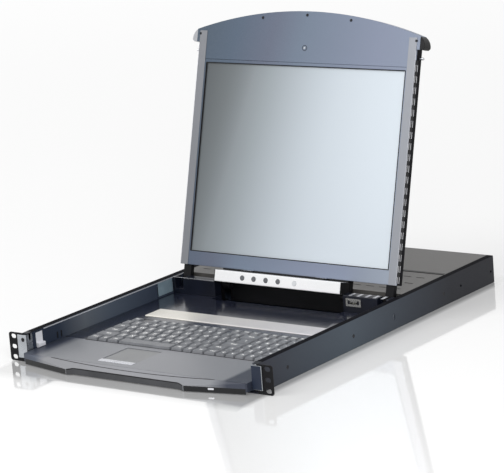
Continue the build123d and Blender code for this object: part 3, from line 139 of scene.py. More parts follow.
def softCopy(node, name, width):
    # A merged copy of a CAD node with rounded edges, shown in place of the node.
    piece = bpy.data.objects.new(name, nodes[node].data.copy())
    bpy.context.scene.collection.objects.link(piece)
    pick(piece)
    bpy.ops.object.mode_set(mode="EDIT")
    bpy.ops.mesh.select_all(action="SELECT")
    bpy.ops.mesh.remove_doubles(threshold=0.00001)
    bpy.ops.mesh.dissolve_limited(angle_limit=math.radians(0.5))
    bpy.ops.object.mode_set(mode="OBJECT")
    soften(piece, width)
    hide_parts(node)
    return piece


def joined(pieces, name):
    clearSelection()
    for piece in pieces:
        piece.select_set(True)
    bpy.context.view_layer.objects.active = pieces[0]
    if len(pieces) > 1:
        bpy.ops.object.join()
    pieces[0].name = name
    return pieces[0]


def copyAt(piece, offset):
    copy = bpy.data.objects.new(piece.name + "_copy", piece.data.copy())
    bpy.context.scene.collection.objects.link(copy)
    copy.data.transform(Matrix.Translation(Vector(offset) * mm))
    return copy


def ontoLid(piece):
    piece.data.transform(lidMatrix)
    return piece


def fit(piece, body, material):
    piece.data.materials.clear()
    piece.data.materials.append(material)
    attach(piece, body)
    return piece


# Materials.


def colour(code):
    # sRGB hex to linear.
    parts = [int(code[i:i + 2], 16) / 255 for i in (1, 3, 5)]
    return [p / 12.92 if p <= 0.04045 else ((p + 0.055) / 1.055) ** 2.4 for p in parts] + [1]


def addNode(tree, kind, settings=None, links=None, stops=()):
    # Adds a node with its settings, its links and, for a ramp, its stops from low to high.
    node = tree.nodes.new(kind)
    for count, (spot, code) in enumerate(stops):
        marks = node.color_ramp.elements
        mark = marks[count] if count < 2 else marks.new(spot)
        mark.position = spot
        mark.color = colour(code)
    for key, value in (settings or {}).items():
        if isinstance(key, int) or key in node.inputs:
            node.inputs[key].default_value = value
        else:
            setattr(node, key, value)
    for key, socket in (links or {}).items():
        tree.links.new(socket, node.inputs[key])
    return node


def addRange(tree, value, source=(0, 1), target=(0, 1)):
    # Maps a value from the source range to the target range, clamped at both ends.
    return addNode(tree, "ShaderNodeMapRange", {
        "From Min": source[0], "From Max": source[1], "To Min": target[0], "To Max": target[1],
    }, {"Value": value}).outputs[0]


def addMath(tree, operation, first, second=0.0):
    # The first term is a socket, the second one a socket or a number.
    node = addNode(tree, "ShaderNodeMath", {"operation": operation}, {0: first})
    if isinstance(second, bpy.types.NodeSocket):
        tree.links.new(second, node.inputs[1])
    else:
        node.inputs[1].default_value = second
    return node.outputs[0]


def newMaterial(name):
    material = bpy.data.materials.new(name)
    material.use_nodes = True
    tree = material.node_tree
    tree.nodes.clear()
    shader = addNode(tree, "ShaderNodeBsdfPrincipled")
    output = addNode(tree, "ShaderNodeOutputMaterial")
    tree.links.new(shader.outputs[0], output.inputs["Surface"])
    place = addNode(tree, "ShaderNodeTexCoord").outputs["Object"]
    return material, tree, shader, place


def finish(name, look):
    # A finish with a slow colour drift, a roughness drift and a fine surface grain.
    material, tree, shader, place = newMaterial(name)
    shader.inputs["Metallic"].default_value = look.get("metallic", 0)
    shader.inputs["IOR"].default_value = look.get("ior", 1.5)
    shader.inputs["Specular IOR Level"].default_value = look.get("specular", 0.5)
    stretch = addNode(tree, "ShaderNodeMapping", {"Scale": look.get("stretch", (1, 1, 1))}, {"Vector": place})
    drift = addNode(tree, "ShaderNodeTexNoise", {
        "Scale": 1000 / look.get("driftMm", 40), "Detail": 3.0, "Roughness": 0.55,
    }, {"Vector": place})
    ends = addNode(tree, "ShaderNodeValToRGB", links={"Fac": drift.outputs[0]},
                   stops=[(0.35, look["dark"]), (0.65, look["light"])])
    base = ends.outputs["Color"]
    if "run" in look:
        # A slow change of tone along the piece, such as thicker lacquer towards one end.
        run = look["run"]
        along = addNode(tree, "ShaderNodeVectorMath", {"operation": "DOT_PRODUCT", 1: run["along"]}, {0: place})
        span = addRange(tree, along.outputs["Value"], (run["from"] * mm, run["to"] * mm))
        tones = addNode(tree, "ShaderNodeValToRGB", links={"Fac": span}, stops=run["stops"])
        toned = addNode(tree, "ShaderNodeMix", {"data_type": "RGBA", 0: run["share"]},
                        {6: base, 7: tones.outputs["Color"]})
        base = toned.outputs[2]
    if "rim" in look:
        # The folded top flange, above the given height, is darker.
        low, high, code = look["rim"]
        axes = addNode(tree, "ShaderNodeSeparateXYZ", links={"Vector": place})
        above = addRange(tree, axes.outputs["Z"], (low * mm, high * mm))
        rimmed = addNode(tree, "ShaderNodeMix", {"data_type": "RGBA", 7: colour(code)}, {0: above, 6: base})
        base = rimmed.outputs[2]
    grain = addNode(tree, "ShaderNodeTexNoise", {
        "Scale": 1000 / look.get("grainMm", 1.2), "Detail": 2.0, "Roughness": 0.6,
    }, {"Vector": stretch.outputs[0]})
    if "speckle" in look:
        code, share = look["speckle"]
        amount = addRange(tree, grain.outputs[0], (0.45, 0.7), (0.0, share))
        speck = addNode(tree, "ShaderNodeMix", {"data_type": "RGBA", 7: colour(code)}, {0: amount, 6: base})
        base = speck.outputs[2]
    tree.links.new(base, shader.inputs["Base Color"])
    rough = addRange(tree, grain.outputs[0], (0.3, 0.7), look["roughness"])
    tree.links.new(rough, shader.inputs["Roughness"])
    bump = addNode(tree, "ShaderNodeBump", {
        "Strength": look.get("bump", 0.15), "Distance": look.get("bumpMm", 0.05) * mm,
    }, {"Height": grain.outputs[0]})
    tree.links.new(bump.outputs[0], shader.inputs["Normal"])
    return material


# Polyester powder coat, sprayed and baked: satin, with a slight orange peel about 1.5 mm wide.
powderCoat = finish("powderCoatBlueBlack", {
    "dark": "#222733", "light": "#262c39", "roughness": (0.36, 0.46), "specular": 0.2,
    "grainMm": 1.5, "bump": 0.12, "bumpMm": 0.04, "driftMm": 90, "rim": (43.1, 43.4, "#121219"),
    # The run paints shade at the walls' front, a pale sheen along their middle and deeper shade towards the rear.
    "run": {"along": (0, 1, 0), "from": 0, "to": 635, "share": 0.8,
            "stops": [(0.0, "#2b2c36"), (0.12, "#3a414b"), (0.35, "#505b66"), (0.6, "#363d47"),
                      (0.8, "#17181f"), (1.0, "#121218")]},
})
# The same powder coat on the folded drawer pan, with a painted sheen along the middle of its walls and painted
# shade at their ends.
panCoat = finish("powderCoatPaintedSheen", {
    "dark": "#222733", "light": "#262c39", "roughness": (0.36, 0.46), "specular": 0.2,
    "grainMm": 1.5, "bump": 0.12, "bumpMm": 0.04, "driftMm": 90,
    "run": {"along": (0, 1, 0), "from": 0, "to": 503, "share": 0.85,
            "stops": [(0.0, "#262e3e"), (0.14, "#303949"), (0.26, "#6a7078"), (0.38, "#586270"),
                      (0.6, "#3f4858"), (1.0, "#24293a")]},
})
# Matt black liner tape on the channels' top flanges: felted, with next to no gloss.
flangeLiner = finish("feltedLinerTape", {
    "dark": "#0c0c10", "light": "#121218", "roughness": (0.75, 0.85), "specular": 0.05,
    "grainMm": 0.8, "bump": 0.2, "bumpMm": 0.05,
})
# Blue-passivated zinc: a pale steel blue, duller than bright zinc.
blueZinc = finish("bluePassivatedZinc", {
    "dark": "#7f93a0", "light": "#92a7b3", "roughness": (0.42, 0.52), "metallic": 0.2,
    "grainMm": 0.8, "bump": 0.1, "bumpMm": 0.03, "driftMm": 20,
})
# Black powder coat on the punched ears: satin, with soft highlights on the slots' edges.
earCoat = finish("powderCoatBlack", {
    "dark": "#0f0f12", "light": "#141417", "roughness": (0.42, 0.52), "specular": 0.15,
    "grainMm": 1.2, "bump": 0.15, "bumpMm": 0.05,
})
# Powder coat on the lid's pressed shell, nearly matt, so the shell reads as flat black.
shellCoat = finish("powderCoatShell", {
    "dark": "#0b0b0f", "light": "#101015", "roughness": (0.5, 0.6), "specular": 0.08,
    "grainMm": 1.5, "bump": 0.12, "bumpMm": 0.04, "driftMm": 90,
})
# High-gloss painted ABS deck, moulded: navy when seen from above, a pale mirror at low angles.
deckPaint = finish("deckGlossAbs", {
    "dark": "#1a1d2a", "light": "#1f2332", "roughness": (0.14, 0.2), "ior": 1.85,
    "grainMm": 0.8, "bump": 0.05, "bumpMm": 0.02, "driftMm": 60,
})
# The palm rest's grey is a painted reflection of the pale sky, even from side to side, and the navy at both ends is
# a painted reflection of the dark walls.
palmReflectionPaint = finish("palmPaintedReflection", {
    "dark": "#7f8186", "light": "#888a8f", "roughness": (0.34, 0.42), "specular": 0.3,
    "grainMm": 0.8, "bump": 0.05, "bumpMm": 0.02, "driftMm": 60,
    "run": {"along": (1, 0, 0), "from": -203, "to": 203, "share": 0.92,
            "stops": [(0.0, "#232a3a"), (0.04, "#2a3142"), (0.085, "#84868b"), (0.5, "#8a8b90"),
                      (0.9, "#7e8085"), (0.918, "#222939")]},
})
# The handle lip's slope carries the same painted reflection, a little lighter on the incline as painted light, with
# navy painted reflection at both ends.
lipReflectionPaint = finish("lipPaintedReflection", {
    "dark": "#8a8b8f", "light": "#939498", "roughness": (0.3, 0.38), "specular": 0.35,
    "grainMm": 0.8, "bump": 0.05, "bumpMm": 0.02, "driftMm": 60,
    "run": {"along": (1, 0, 0), "from": -203, "to": 203, "share": 0.92,
            "stops": [(0.0, "#3a4252"), (0.06, "#4a5262"), (0.11, "#8c8d91"), (0.5, "#94959a"),
                      (0.86, "#86888d"), (0.93, "#2a3142")]},
})
# The lip's front face is the bare moulded ABS: dark grey and satin.
lipFace = finish("lipFaceAbs", {
    "dark": "#3a3b3e", "light": "#444548", "roughness": (0.3, 0.4), "specular": 0.35,
    "grainMm": 0.8, "bump": 0.05, "bumpMm": 0.02, "driftMm": 40,
})
# Gloss black ABS, moulded in a polished tool, so it mirrors the floor.
lipGloss = finish("lipGlossBlackAbs", {
    "dark": "#0b0c0f", "light": "#101115", "roughness": (0.1, 0.16), "specular": 0.4,
    "grainMm": 0.8, "bump": 0.04, "bumpMm": 0.02, "driftMm": 40,
})
# Navy ABS corner blocks, moulded with a light texture that breaks up the gloss.
blockPlastic = finish("blockGlossAbs", {
    "dark": "#10131d", "light": "#151926", "roughness": (0.28, 0.36), "specular": 0.3,
    "grainMm": 0.8, "bump": 0.08, "bumpMm": 0.03,
})
# Black ABS with a fine spark-eroded texture: low gloss, for caps, sleeves and seals.
blackPlastic = finish("mouldedBlackAbs", {
    "dark": "#0e0e10", "light": "#131316", "roughness": (0.4, 0.52), "specular": 0.25,
    "grainMm": 0.6, "bump": 0.2, "bumpMm": 0.04,
})
# Metallic lacquer on the lid's front: blue-grey, with aluminium flake that shows as fine sparkle.
lidLacquer = finish("lidMetallicLacquer", {
    "dark": "#5d6779", "light": "#677188", "roughness": (0.42, 0.52), "metallic": 0.1, "specular": 0.25,
    "grainMm": 0.7, "bump": 0.06, "bumpMm": 0.03, "driftMm": 120, "speckle": ("#8a93a6", 0.2),
    # The run paints shade on the lid's left and a pale reflection that grows to the right.
    "run": {"along": (1, 0, -0.25), "from": -310, "to": 190, "share": 0.88,
            "stops": [(0.0, "#44525f"), (0.15, "#4f5e6f"), (0.29, "#62697a"), (0.4, "#6f7c8d"),
                      (0.7, "#878fa3"), (0.8, "#8b94a7"), (0.9, "#9aa3b1"), (1.0, "#a2abb8")]},
})
# The arch's rounded edge is darker than its face.
edgeLacquer = finish("archEdgeLacquer", {
    "dark": "#2a2f38", "light": "#343a45", "roughness": (0.3, 0.4), "specular": 0.3,
    "grainMm": 0.7, "driftMm": 60,
})
# Silver lacquer with fine flake on the side rails: a soft metal sheen.
railLacquer = finish("railSilverLacquer", {
    "dark": "#85878c", "light": "#92959d", "roughness": (0.34, 0.44), "metallic": 0.3,
    "grainMm": 0.7, "bump": 0.06, "bumpMm": 0.03, "driftMm": 120,
    # The run paints the left rail darker than the right one: painted shade.
    "run": {"along": (1, 0, 0), "from": -204, "to": 204, "share": 0.85,
            "stops": [(0.0, "#797b80"), (1.0, "#94979e")]},
})
# White ABS, moulded in a polished tool: bright, with a soft gloss.
barGloss = finish("barWhiteAbs", {
    "dark": "#f7f8f9", "light": "#fbfbfc", "roughness": (0.22, 0.3),
    "grainMm": 1.0, "bump": 0.04, "bumpMm": 0.02,
})
# Small moulded ABS buttons and caps, satin, in three greys.
buttonGrey = finish("buttonGreyAbs", {
    "dark": "#5b5d61", "light": "#66686c", "roughness": (0.35, 0.45),
    "grainMm": 0.5, "bump": 0.1, "bumpMm": 0.03,
})
capGrey = finish("endCapGreyAbs", {
    "dark": "#a9abb0", "light": "#b6b8bd", "roughness": (0.3, 0.4), "grainMm": 0.5, "bump": 0.1, "bumpMm": 0.03,
})
buttonPale = finish("buttonPaleAbs", {
    "dark": "#d2d4d8", "light": "#dcdee1", "roughness": (0.3, 0.4),
    "grainMm": 0.5, "bump": 0.1, "bumpMm": 0.03,
})
# Grey ABS keycaps, moulded with a fine grain that scatters the light on their dished tops.
keyPlastic = finish("keycapAbs", {
    "dark": "#66686d", "light": "#75777c", "roughness": (0.34, 0.46), "ior": 1.6,
    "grainMm": 0.5, "bump": 0.2, "bumpMm": 0.04, "driftMm": 15,
})
# White pad-printed ink, matt and slightly raised.
legendInk = finish("legendInk", {
    "dark": "#f6f6f5", "light": "#fbfbf9", "roughness": (0.5, 0.6), "grainMm": 0.5,
})
# The touchpad's printed film: even, satin and a little paler than the palm rest.
padSatin = finish("touchpadSatin", {
    "dark": "#7a7b7d", "light": "#818284", "roughness": (0.34, 0.42),
    "grainMm": 0.6, "bump": 0.15, "bumpMm": 0.03,
})
# Silver paint with flake over ABS: half metal, half pale grey.
silverPaint = finish("silverPaint", {
    "dark": "#c6c8ce", "light": "#d2d4da", "roughness": (0.22, 0.32), "metallic": 0.35,
    "grainMm": 0.8, "bump": 0.05, "bumpMm": 0.02,
})
# Coarser silver paint on the strip behind the keys, with a painted reflection that makes its left end warmer and
# paler.
stripPaint = finish("stripSilverPaint", {
    "dark": "#c6c3c0", "light": "#d6d3ce", "roughness": (0.3, 0.42), "metallic": 0.25,
    "grainMm": 0.9, "bump": 0.08, "bumpMm": 0.03, "driftMm": 50, "speckle": ("#9b9a99", 0.3),
    "run": {"along": (1, 0, 0), "from": -160, "to": 160, "share": 0.8,
            "stops": [(0.0, "#f4f0e6"), (0.22, "#faf6ec"), (0.34, "#dcd9d6"), (1.0, "#dad7dc")]},
})
# White acetal (POM), moulded: waxy, with a soft low gloss.
whitePom = finish("catchWhitePom", {
    "dark": "#dfe0e6", "light": "#e8e9ee", "roughness": (0.35, 0.45), "grainMm": 0.8,
})
# Zinc plate on rolled steel: bright grey, drawn along the slide so the grain is long in y.
zincPlate = finish("zincPlatedSteel", {
    "dark": "#a3a7ac", "light": "#b9bdc2", "roughness": (0.22, 0.38), "metallic": 1,
    "grainMm": 0.8, "stretch": (1, 0.06, 1), "bump": 0.12, "bumpMm": 0.03, "driftMm": 25,
})
# Turned steel: bright, with fine tool marks that run long in x.
brightSteel = finish("turnedSteel", {
    "dark": "#b4b6ba", "light": "#c6c8cb", "roughness": (0.16, 0.28), "metallic": 1,
    "grainMm": 0.5, "stretch": (0.1, 1, 1), "bump": 0.1, "bumpMm": 0.02,
})
# Nickel plate on drawn shells: bright and slightly warm.
nickel = finish("nickelPlate", {
    "dark": "#b9b9b6", "light": "#c9c9c5", "roughness": (0.18, 0.3), "metallic": 1,
    "grainMm": 0.8, "bump": 0.06, "bumpMm": 0.02,
})
# Black zinc on screws: a dark metal with a small sharp highlight.
blackZinc = finish("blackZincScrew", {
    "dark": "#1e1e21", "light": "#2a2a2e", "roughness": (0.26, 0.38), "metallic": 0.8, "grainMm": 0.5,
})
# Screen-printed solder mask, black with a green cast, satin.
boardBlack = finish("blackSolderMask", {
    "dark": "#0b120f", "light": "#101a16", "roughness": (0.3, 0.42), "grainMm": 1.5, "driftMm": 12,
})
# Milled aluminium sheet: a grey metal with grain along the rolling direction.
supplyCase = finish("milledAluminium", {
    "dark": "#9c9ea1", "light": "#aeb0b3", "roughness": (0.3, 0.42), "metallic": 1,
    "grainMm": 0.7, "stretch": (1, 0.08, 1),
})
# Blue glass-filled PBT in the video ports: matt, with little gloss.
portBlue = finish("portInsulatorPbt", {
    "dark": "#23439c", "light": "#2a4dab", "roughness": (0.4, 0.5), "grainMm": 0.5,
})


def perforated(name, look):
    # Punched sheet: a square grid of round holes, painted dark as painted shade and sunk by a bump, over satin
    # paint.
    material, tree, shader, place = newMaterial(name)
    cells = addNode(tree, "ShaderNodeTexVoronoi", {
        "voronoi_dimensions": "2D", "feature": "F1", "Scale": 1000 / look["pitchMm"], "Randomness": 0.0,
    }, {"Vector": place})
    hole = addRange(tree, cells.outputs["Distance"],
                    (look["holeShare"] - look["holeBlur"], look["holeShare"] + look["holeBlur"]), (1.0, 0.0))
    drift = addNode(tree, "ShaderNodeTexNoise", {"Scale": 1000 / look["driftMm"], "Detail": 3.0},
                    {"Vector": place})
    paint = addNode(tree, "ShaderNodeMix", {
        "data_type": "RGBA", 6: colour(look["dark"]), 7: colour(look["light"]),
    }, {0: drift.outputs[0]})
    base = addNode(tree, "ShaderNodeMix", {"data_type": "RGBA", 7: colour(look["hole"])},
                   {0: hole, 6: paint.outputs[2]})
    tree.links.new(base.outputs[2], shader.inputs["Base Color"])
    shader.inputs["Roughness"].default_value = look["roughness"]
    bump = addNode(tree, "ShaderNodeBump", {
        "Strength": look["bump"], "Distance": look["bumpMm"] * mm, "invert": True,
    }, {"Height": hole})
    tree.links.new(bump.outputs[0], shader.inputs["Normal"])
    return material


coverSheet = perforated("coverPaintPunched", {
    "pitchMm": 3.2, "holeShare": 0.3, "holeBlur": 0.06, "dark": "#504e4c", "light": "#5c5a58",
    "hole": "#2e2d2b", "roughness": 0.42, "driftMm": 60, "bump": 0.4, "bumpMm": 0.2,
})


def screenFilm(name, look):
    # Anti-glare film over a dark panel, with a painted reflection: a pale sheen that grows to the right and
    # downwards.
    material, tree, shader, place = newMaterial(name)
    along = addNode(tree, "ShaderNodeVectorMath", {"operation": "DOT_PRODUCT", 1: look["along"]}, {0: place})
    across = addRange(tree, along.outputs["Value"], (look["from"] * mm, look["to"] * mm))
    sheen = addNode(tree, "ShaderNodeValToRGB", links={"Fac": across}, stops=look["stops"])
    sheen.color_ramp.interpolation = "B_SPLINE"
    tree.links.new(sheen.outputs["Color"], shader.inputs["Base Color"])
    grit = addNode(tree, "ShaderNodeTexNoise", {"Scale": 1000 / look["gritMm"], "Detail": 1.0},
                   {"Vector": place})
    rough = addRange(tree, grit.outputs[0], target=look["roughness"])
    tree.links.new(rough, shader.inputs["Roughness"])
    shader.inputs["Specular IOR Level"].default_value = look["specular"]
    return material


screenGlass = screenFilm("screenAntiGlareFilm", {
    "along": (1, 0, -0.25), "from": -280, "to": 168, "gritMm": 0.6, "roughness": (0.3, 0.36), "specular": 0.3,
    "stops": [(0.0, "#565b5e"), (0.12, "#6c7275"), (0.22, "#868d91"), (0.42, "#b6bfc6"), (0.6, "#ced7df"),
              (0.85, "#dbe4ec"), (1.0, "#d8e1e9")],
})

slotLooks = {
    "chassis_paint": powderCoat, "ear_paint": earCoat, "cover_paint": coverSheet, "zinc": zincPlate,
    "steel": brightSteel, "screw_black": blackZinc, "board": boardBlack, "connector": nickel,
    "black_plastic": blackPlastic, "deck_plastic": deckPaint, "lid_plastic": lidLacquer,
    "lid_shell": shellCoat, "screen": screenGlass, "bar_plastic": barGloss,
    "button_plastic": buttonGrey, "key_plastic": keyPlastic, "pad_surface": padSatin,
    "pad_button": silverPaint, "strip_plastic": stripPaint, "catch_plastic": whitePom,
    "supply_case": supplyCase,
}
for subpart in frame["record"]["subparts"]:
    look = slotLooks[subpart["material_slot"]]
    data = nodes[subpart["node"]]
    if not data.material_slots:
        data.data.materials.append(look)
    for slot in data.material_slots:
        slot.material = look
for node, look in (("corner_block_left", blockPlastic), ("corner_block_right", blockPlastic),
                   ("power_button", buttonPale), ("drawer_pan", panCoat)):
    for slot in nodes[node].material_slots:
        slot.material = look
print("stage: materials on", len(nodes), "nodes")

# The lid's front: rounded frame and arch, pale side rails, a black ring of painted shade round the screen.
lidFront = {
    "edge": 0.8, "capEdge": 0.5, "railInner": 190.0, "railOuter": 204.3, "railHigh": 351.0, "foot": -22.0,
    "railRise": 0.7, "screenHalf": 188.15, "screenHigh": 301.1, "recessShadeBorder": 1.3, "recessShadeDepth": (-2.4, -0.2),
    "sideGlintRows": ((-2.2, -1.1), (-7.2, -6.1)), "ribs": 20, "glintPitch": 16.8, "glintLong": 10.0, "glintStart": 3.0,
    "ribRise": (0.05, 0.3), "sideBand": (-7.6, -0.05), "bandRise": 0.12,
    "trim": 0.6, "trimShort": 20.0, "trimRise": 0.25,
    "dot": (0.0, 329.0), "dotRise": 0.2, "dotRadius": 1.7, "dotDepth": 0.5,
    "ringRise": 0.06, "ringRadius": 4.6, "ringDepth": 0.16, "ringBorder": 1.1,
}


def makeRing(name, low, high, border, side="Z"):
    # A flat frame: a plate whose two wide faces are inset and bridged through.
    ring = addBlock(name, low, high)
    axis = "XYZ".index(side)
    chooseFaces(ring, lambda face: abs(face.normal[axis]) > 0.9)
    bpy.ops.mesh.inset(thickness=border * mm, depth=0)
    bpy.ops.mesh.bridge_edge_loops()
    bpy.ops.object.mode_set(mode="OBJECT")
    return ring


def makeLidFront(look):
    frontFrame = softCopy("lid_bezel", "bezel_frame", look["edge"])
    fit(frontFrame, "lid", lidLacquer)
    arch = softCopy("lid_handle", "arched_handle", look["edge"])
    fit(arch, "lid", lidLacquer)
    # The rounded edge along the arch's top shows as a thin dark line.
    arch.data.materials.append(edgeLacquer)
    for face in arch.data.polygons:
        toLid = lidMatrix.to_3x3().inverted() @ face.normal
        face.material_index = 1 if 0.25 < toLid.y < 0.97 and toLid.z > 0.15 else 0
    # The left end cap is painted silver on its faces, the right one is black.
    caps = softCopy("wing_end_caps", "end_caps", look["capEdge"])
    fit(caps, "lid", blackPlastic)
    caps.data.materials.append(capGrey)
    for face in caps.data.polygons:
        face.material_index = 1 if face.center.x < 0 else 0
    rails = []
    trims = []
    bands = []
    lines = []
    for side in (-1, 1):
        inner = side * look["railInner"]
        outer = side * look["railOuter"]
        rail = addBlock("side_rail", (inner, look["foot"], 0), (outer, look["railHigh"], look["railRise"]))
        rails.append(soften(rail, 0.3))
        # A thin silver strip along each rail's outer edge is a painted highlight on that edge.
        edge = outer - side * look["trim"]
        trim = addBlock("edge_trim", (edge, look["foot"], look["railRise"]),
                        (outer, look["railHigh"] - look["trimShort"], look["railRise"] + look["trimRise"]))
        trims.append(soften(trim, 0.1, 1))
        # Each side has a black band with two rows of short white marks on it, painted highlights along the shell's
        # seam and along a groove.
        first = look["foot"] + look["glintStart"]
        band = addBlock("side_band", (outer, first, look["sideBand"][0]),
                        (outer + side * look["bandRise"], first + look["ribs"] * look["glintPitch"],
                         look["sideBand"][1]))
        bands.append(soften(band, 0.04, 1))
        for rear, front in look["sideGlintRows"]:
            rib = addBlock("side_glint", (outer + side * look["ribRise"][0], first, rear),
                           (outer + side * look["ribRise"][1], first + look["glintLong"], front))
            soften(rib, 0.1, 1)
            for step in range(look["ribs"]):
                lines.append(copyAt(rib, (0, step * look["glintPitch"], 0)))
            bpy.data.objects.remove(rib)
    fit(ontoLid(joined(rails, "side_rails")), "lid", railLacquer)
    fit(ontoLid(joined(trims, "edge_trims")), "lid", silverPaint)
    fit(ontoLid(joined(bands, "side_bands")), "lid", blackPlastic)
    fit(ontoLid(joined(lines, "side_glints")), "lid", whitePom)
    half = look["screenHalf"]
    rear, front = look["recessShadeDepth"]
    # The black ring lines the screen's opening: painted shade in its recess.
    ring = makeRing("screen_recess_shade", (-half, 0, rear), (half, look["screenHigh"], front), look["recessShadeBorder"])
    fit(ontoLid(ring), "lid", blackPlastic)
    dot = addRound("centre_screw", (*look["dot"], look["dotRise"]), look["dotRadius"], look["dotDepth"])
    soften(dot, 0.15)
    fit(ontoLid(dot), "lid", brightSteel)
    # A pressed circle round the screw, just proud of the arch.
    halo = addRound("centre_circle", (*look["dot"], look["ringRise"]), look["ringRadius"], look["ringDepth"], 48)
    chooseFaces(halo, lambda face: abs(face.normal.z) > 0.9)
    bpy.ops.mesh.inset(thickness=look["ringBorder"] * mm, depth=0)
    bpy.ops.mesh.bridge_edge_loops()
    bpy.ops.object.mode_set(mode="OBJECT")
    fit(ontoLid(halo), "lid", edgeLacquer)


makeLidFront(lidFront)
print("stage: lid front")

# The control bar's black parts: an end plate at each end, the line over it and its lug sleeves.
controlBar = {
    "half": 119.0, "low": -43.0, "high": -25.0, "back": -2.0, "face": 22.4, "plate": 0.7,
    "lugs": (59.6, 80.4), "lugFace": 6.4, "lineTop": -22.05, "lineDepth": (0.2, 1.2), "gap": 0.05,
}


def makeBarTrim(look):
    parts = []
    for side in (-1, 1):
        end = addBlock("end_plate", (side * look["half"], look["low"] + 0.2, look["back"]),
                       (side * (look["half"] + look["plate"]), look["high"], look["face"]))
        parts.append(soften(end, 0.25))
        sleeve = addBlock("lug_sleeve", (side * look["lugs"][0], look["high"] + look["gap"], look["back"]),
                          (side * look["lugs"][1], look["lineTop"], look["lugFace"]))
        parts.append(soften(sleeve, 0.2))
    rear, front = look["lineDepth"]
    line = addBlock("bar_line", (-look["half"], look["high"] + look["gap"], rear),
                    (look["half"], look["lineTop"], front))
    parts.append(soften(line, 0.15))
    fit(ontoLid(joined(parts, "bar_black_trim")), "lid", blackPlastic)


makeBarTrim(controlBar)
print("stage: control bar")

# Keycaps: a cap per key, tapered and dished, with a raised white legend.
keyboard = {
    "unit": 17.2, "pitch": 20.4, "gap": 1.4, "front": 81.0, "units": 19, "skirt": 15.5,
    "top": 21.0, "lowTop": 19.6, "lowGap": 5.0, "lowDepth": 15.0, "taper": 1.8, "dish": 0.45,
    "rim": 1.6, "edge": 0.5, "legendSize": 9.6, "wordShare": 0.55, "legendStroke": 0.2, "legendThick": 0.03,
    "legendRise": 0.8, "legendClear": 0.02, "base": 12.6, "deck": 17.5, "fillerGap": 0.4, "fillerDrop": 0.1,
    "line": 0.9, "lineRise": (-0.3, 0.08),
}
keyRows = {
    "keys_bottom_row": ([1.25, 1, 1.25, -5.75, 1.25, 1, 1.25, 1.25, 1, 1, 1, 1, 1],
                        ["Ctrl", "o", "Alt", "Alt", "o", "=", "Ctrl", "<", "v", ">", "0", "."]),
    "keys_lower_row": ([2.25] + [1] * 10 + [1.75] + [1] * 5,
                       ["Shift"] + list("ZXCVBNM,./") + ["Shift"] + list("^123+")),
    "keys_home_row": ([1.75] + [1] * 11 + [2.25] + [1] * 4,
                      ["Caps"] + list("ASDFGHJKL;'") + ["Enter"] + list("456+")),
    "keys_upper_row": ([1.5] + [1] * 12 + [1.5] + [1] * 4,
                       ["Tab"] + list("QWERTYUIOP[]") + ["\\"] + list("789-")),
    "keys_number_row": ([1] * 13 + [2] + [1] * 4,
                        list("`1234567890-=") + ["Back"] + list("N/*-")),
    "keys_function_row": ([1, -1] + [1] * 4 + [-0.5] + [1] * 4 + [-0.5] + [1] * 8,
                          ["Esc"] + ["F%d" % n for n in range(1, 13)] + ["Ins", "Del", "Home", "End"]),
    "space_bar": ([-3.5, 5.75], [""]),
}


def makeCap(width, depth, top, look):
    cap = addBlock("cap", (-width / 2, -depth / 2, look["skirt"]), (width / 2, depth / 2, top))
    chooseFaces(cap, lambda face: face.normal.z > 0.9)
    shrinkX = (width - 2 * look["taper"]) / width
    shrinkY = (depth - 2 * look["taper"]) / depth
    bpy.ops.transform.resize(value=(shrinkX, shrinkY, 1))
    bpy.ops.mesh.inset(thickness=look["rim"] * mm, depth=0)
    bpy.ops.transform.translate(value=(0, 0, -look["dish"] * mm))
    bpy.ops.object.mode_set(mode="OBJECT")
    soften(cap, look["edge"], 2, 25)
    return cap


def makeLegend(text, place, size, look):
    clearSelection()
    bpy.ops.object.text_add(location=(0, 0, 0))
    letters = bpy.context.object
    letters.data.body = text
    letters.data.size = size * mm
    letters.data.offset = look["legendStroke"] * mm  # thickens the strokes, so that they show from here
    letters.data.extrude = look["legendThick"] * mm
    letters.data.resolution_u = 2
    letters.data.align_x = "CENTER"
    letters.data.align_y = "CENTER"
    bpy.ops.object.convert(target="MESH")
    letters = bpy.context.object
    letters.data.transform(Matrix.Translation(Vector(place) * mm))
    return letters


